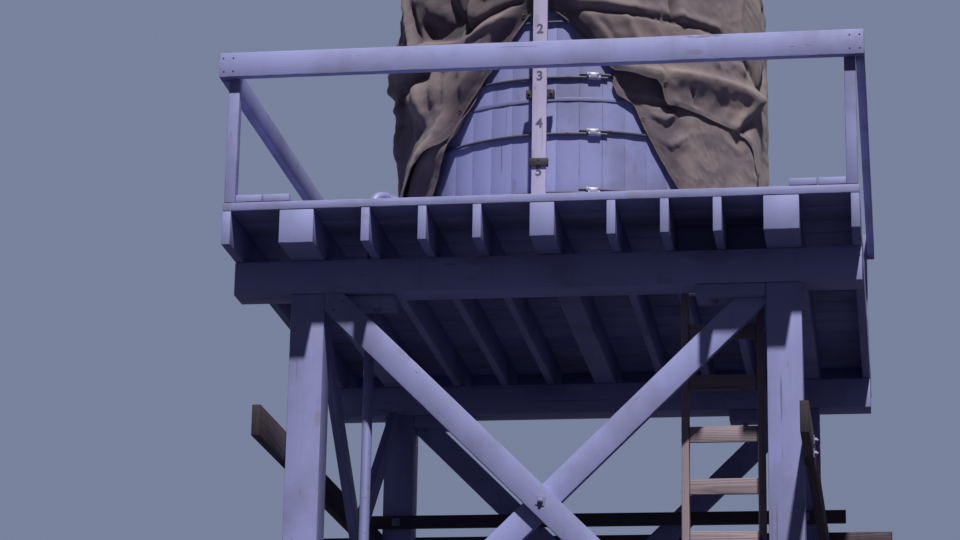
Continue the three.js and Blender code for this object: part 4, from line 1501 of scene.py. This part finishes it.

# %% [markdown]
# The skirt is the same idea with free sides: at every height its columns run from the right edge of the
# opening, round the back, to the left edge. Its own folds are small pouches at the right, hanging ridges
# beyond them, and a hollow under the upper sheet's hem, which throws the deep shadow there. On the left,
# under that hem, painted shade also darkens the cloth's colour.

# %% Skirt
RIGHT_EDGE = [
    (0.05, 51.5), (0.30, 44.3), (0.406, 41.5), (0.526, 37), (0.657, 32.5), (0.783, 28.6), (0.925, 25),
    (0.955, 22), (0.98, 19.5), (1.05, 18), (1.33, 20)]
LEFT_EDGE = [
    (0.05, -56), (0.30, -49.2), (0.441, -45.9), (0.556, -42.6), (0.626, -40.6), (0.711, -38), (0.80, -35.5),
    (0.9, -32), (1.0, -28), (1.33, -21)]
SKIRT_FOLDS = [
    ([(31.5, 0.865), (35, 0.835), (38.1, 0.88)], 0.032, 0.02, 0.3),
    ([(33.5, 0.72), (37.6, 0.682), (41.9, 0.745)], 0.036, 0.024, 0.3),
    ([(34, 0.92), (35.5, 0.87)], 0.03, 0.012),
    ([(26, 0.85), (30, 0.68), (37, 0.45), (45, 0.15)], 0.03, 0.01),
    ([(53.5, 0.88), (51, 0.67), (52, 0.4)], 0.026, 0.026),
    ([(61, 0.81), (55.5, 0.59), (56, 0.35)], 0.024, 0.026),
    ([(46, 0.8), (45, 0.5)], 0.03, -0.014),
    ([(57, 0.75), (59, 0.5)], 0.03, -0.018),
    ([(-37, 0.82), (-42, 0.75), (-49, 0.67), (-53.6, 0.57), (-57.6, 0.42), (-62, 0.2)], 0.17, 0.075),
    ([(-48, 0.6), (-53, 0.45), (-57, 0.2)], 0.05, -0.015)]
SKIRT_FOLDS += seeded_folds(24, 82, 296, 1.2, 0.1, 0.034)
SKIRT_BODY = [(-180, 1.175), (-110, 1.17), (-85, 1.13), (-62, 1.105), (-35, 1.096), (10, 1.096), (24, 1.10),
              (42, 1.14), (55, 1.165), (75, 1.15), (110, 1.15), (130, 1.175), (180, 1.175)]
SKIRT_COLUMNS, SKIRT_ROWS = 330, 110
SKIRT_TOP, SKIRT_FOOT = 1.32, 0.068
SKIRT_CREASES, UNDER_UPPER, AT_EDGE = 0.14, 0.008, 1.097


def lowest(values, cap, soft=0.006):
    """The lower of two surfaces, with their meeting line rounded"""
    return -soft * np.logaddexp(-values / soft, -cap / soft)


def blended(values, other, share):
    return values * (1 - share) + other * share


height = SKIRT_TOP - np.linspace(0, 1, SKIRT_ROWS)[:, None] * (SKIRT_TOP - SKIRT_FOOT)
right, left = between(height, RIGHT_EDGE), 360 + between(height, LEFT_EDGE)
share = np.interp(np.linspace(0, 1, SKIRT_COLUMNS), (0, 0.33, 0.74, 1), (0, 0.16, 0.84, 1))[None, :]
turn = right + share * (left - right)
signed = (turn + 180) % 360 - 180
aside = [unrolled(edge) / np.hypot(1, np.gradient(unrolled(limit[:, 0]), height[:, 0])[:, None])
         for edge, limit in ((turn - right, right), (left - turn, left))]
body = between(signed, SKIRT_BODY)
radius = blended(body + folded(unrolled(turn), height, SKIRT_FOLDS), AT_EDGE,
                 1 - smooth(aside[0], 0.0, 0.18))
pocket = smooth(signed, 8, 16) * (1 - smooth(signed, 30, 38)) * smooth(height, 0.93, 1.02)
radius = blended(radius, between(signed, [(18, 1.098), (32, 1.115)]), pocket)
over = upper_field(signed, height)
beside = smooth(signed, 37, 47) * (1 - smooth(signed, 112, 125))
radius = blended(radius, over - 0.009, beside)
covered = smooth(height - between(signed, UPPER_HEM), -0.06, 0.0)
radius = blended(radius, lowest(radius, over - 0.02 + 0.011 * beside), covered)
places = creased(on_tank(turn, radius, height), turn, SKIRT_CREASES, 1 - 0.8 * covered)
places = tucked_under(upper, clear_of(places, turn, ON_WALL), turn, UNDER_UPPER)
places = clear_of(places, turn, ON_WALL)
lay = np.stack([unrolled(turn), SKIRT_TOP - height + 0 * turn], axis=-1)
hem_distance = np.minimum(np.minimum(*aside), height - SKIRT_FOOT)
# Painted shade: in the wedge under the upper sheet's hem on the left, the fold value is lowered, which
# colours the cloth darker
painted_wedge_shade = 0.08 * smooth(-signed, 33, 40) * (1 - smooth(-signed, 60, 68)) * (1 - smooth(height, 0.75, 0.85))
skirt = sheet_of("canvas_skirt", places, lay, hem_distance, radius - body - painted_wedge_shade)
skirt_area = closed(skirt)

# %% [markdown]
# Canvas is a plain weave of thick thread, so two sets of ridges cross at right angles. The UV map holds the
# flat cloth in metres, so the weave follows every fold. How far a point is from the hem gives the turned and
# stitched band.

# %% Node group: weave and seams
g, given = new_group("weave", Lay="Vector", Hem="Float")
thread = {"Vector": given["Lay"], "Distortion": 1.2, "Detail": 1}
warp = g.node("TexWave", {**thread, "Scale": 160}, bands_direction="X")[1]
weft = g.node("TexWave", {**thread, "Scale": 150}, bands_direction="Y")[1]
across, down_cloth = g.node("SeparateXYZ", {0: given["Lay"]})[:2]
to_seam = g.calc("ABSOLUTE", g.calc("PINGPONG", across, 0.46))
dashes = g.step(g.calc("PINGPONG", g.plus(across, down_cloth), 0.005), 0.0012, 0.0016)
lines = g.most(g.calc("COMPARE", to_seam, 0.0065, 0.0011), g.calc("COMPARE", given["Hem"], 0.031, 0.0012))
lines = g.most(lines, g.calc("COMPARE", given["Hem"], 0.006, 0.0012))
weave_group = give(g, Threads=g.times(warp, weft), Seams=g.step(to_seam, 0.009, 0.006),
                   Stitches=g.times(lines, dashes), Band=g.step(given["Hem"], 0.036, 0.034))

# %% [markdown]
# Marks are laid over each other: blotches first, then a painted highlight on the ridges and painted shade in
# the hollows, both from the fold depth, then drips, tide marks and fine dirt, and last the seams and
# stitches.

# %% Canvas
g = Finish("canvas")
lay_out = g.node("UVMap", uv_map="UVMap")[0]
cloth = g.node("Group", {"Lay": lay_out, "Hem": g.own("hem")}, node_tree=weave_group)
fold = g.own("fold")
dirt = g.noise(g.place, 34, 4, 0.7)
drips = g.step(g.noise(lay_out, (13, 1.3, 1), 4, 0.65), 0.5, 0.7)
tide = g.calc("COMPARE", g.noise(g.place, 1.9, 3, 0.55), 0.56, 0.012)
base = g.mix(g.step(g.noise(g.place, 3.2, 5, 0.62), 0.35, 0.68), colour(134, 119, 120), colour(110, 97, 107))
# Painted highlight where the cloth stands out and painted shade where it sinks in, read from the fold depth
base = g.tinted(base, (g.step(fold, 0.005, 0.05), 0.4, colour(154, 138, 134)),
                (g.step(fold, 0.02, -0.045), 0.7, colour(70, 58, 72)),
                (drips, 0.28, colour(92, 80, 84)), (tide, 0.16, colour(84, 70, 70)))
base = g.mix(g.step(dirt, 0.5, 0.8, 0.0, 0.3), base, colour(96, 84, 88))
base = g.tinted(base, (cloth["Seams"], 0.14, colour(104, 92, 96)), (cloth["Band"], 0.3, colour(98, 86, 92)),
                (cloth["Stitches"], 0.5, colour(150, 136, 132)))
height = g.plus(g.times(cloth["Threads"], 0.35), g.times(cloth["Seams"], 0.5))
height = g.less(g.plus(height, g.times(cloth["Band"], 0.8)), g.times(cloth["Stitches"], 0.5))
bump = g.bump(0.7, 0.0022, g.plus(height, g.times(dirt, 0.8)))
canvas = g.done(base, g.step(dirt, 0.2, 0.8, 0.82, 0.97), bump, **{"Sheen Weight": 0.15})

# %% [markdown]
# A hem is turned over and stitched, and brass grommets are set in it for the lashings. Each is a torus
# squeezed flat, and its copies lie on the cloth by the direction that the sheet faces there.

# %% Cloth as pieces
GROMMET_LINE, LINE_BAND, GROMMET_APART = 0.019, 0.007, 0.5
RING, RING_THICK, RING_FLAT, PROUD = 0.0105, 0.003, 0.7, 0.0012
finish_piece(upper, canvas, "canvas", "canvas_cover", angle=70)
finish_piece(skirt, canvas, "canvas", "canvas_cover", angle=70)
select_only()
bpy.ops.mesh.primitive_torus_add(major_radius=RING, minor_radius=RING_THICK, major_segments=12,
                                 minor_segments=6)
bpy.ops.transform.resize(value=(1, 1, RING_FLAT))
ring = bpy.context.object
into_mesh(ring)


def grommets_on(piece, name):
    """Rings set in the hem at an even spacing"""
    mesh = piece.data
    hem_values = np.empty(len(mesh.vertices))
    mesh.attributes["hem"].data.foreach_get("value", hem_values)
    spots, taken = [], []
    for i in np.flatnonzero(np.abs(hem_values - GROMMET_LINE) < LINE_BAND):
        point = mesh.vertices[int(i)]
        outwards = Vector((point.co.x - axis.x, point.co.y - axis.y, 0)).normalized()
        if point.normal.dot(outwards) < 0.35:
            continue
        if all((point.co - other).length > GROMMET_APART for other in taken):
            taken.append(point.co.copy())
            flat = point.normal.to_track_quat("Z", "Y").to_matrix().to_4x4()
            spots.append(moved(point.co + point.normal * PROUD) @ flat)
    return copies(name, twin_of(ring), spots, brass, "dark_iron")


top_rings = grommets_on(upper, "grommets_top")
skirt_rings = grommets_on(skirt, "grommets_skirt")
remove(ring)
print("sheets:", round(upper_area, 2), "and", round(skirt_area, 2), "square metres")
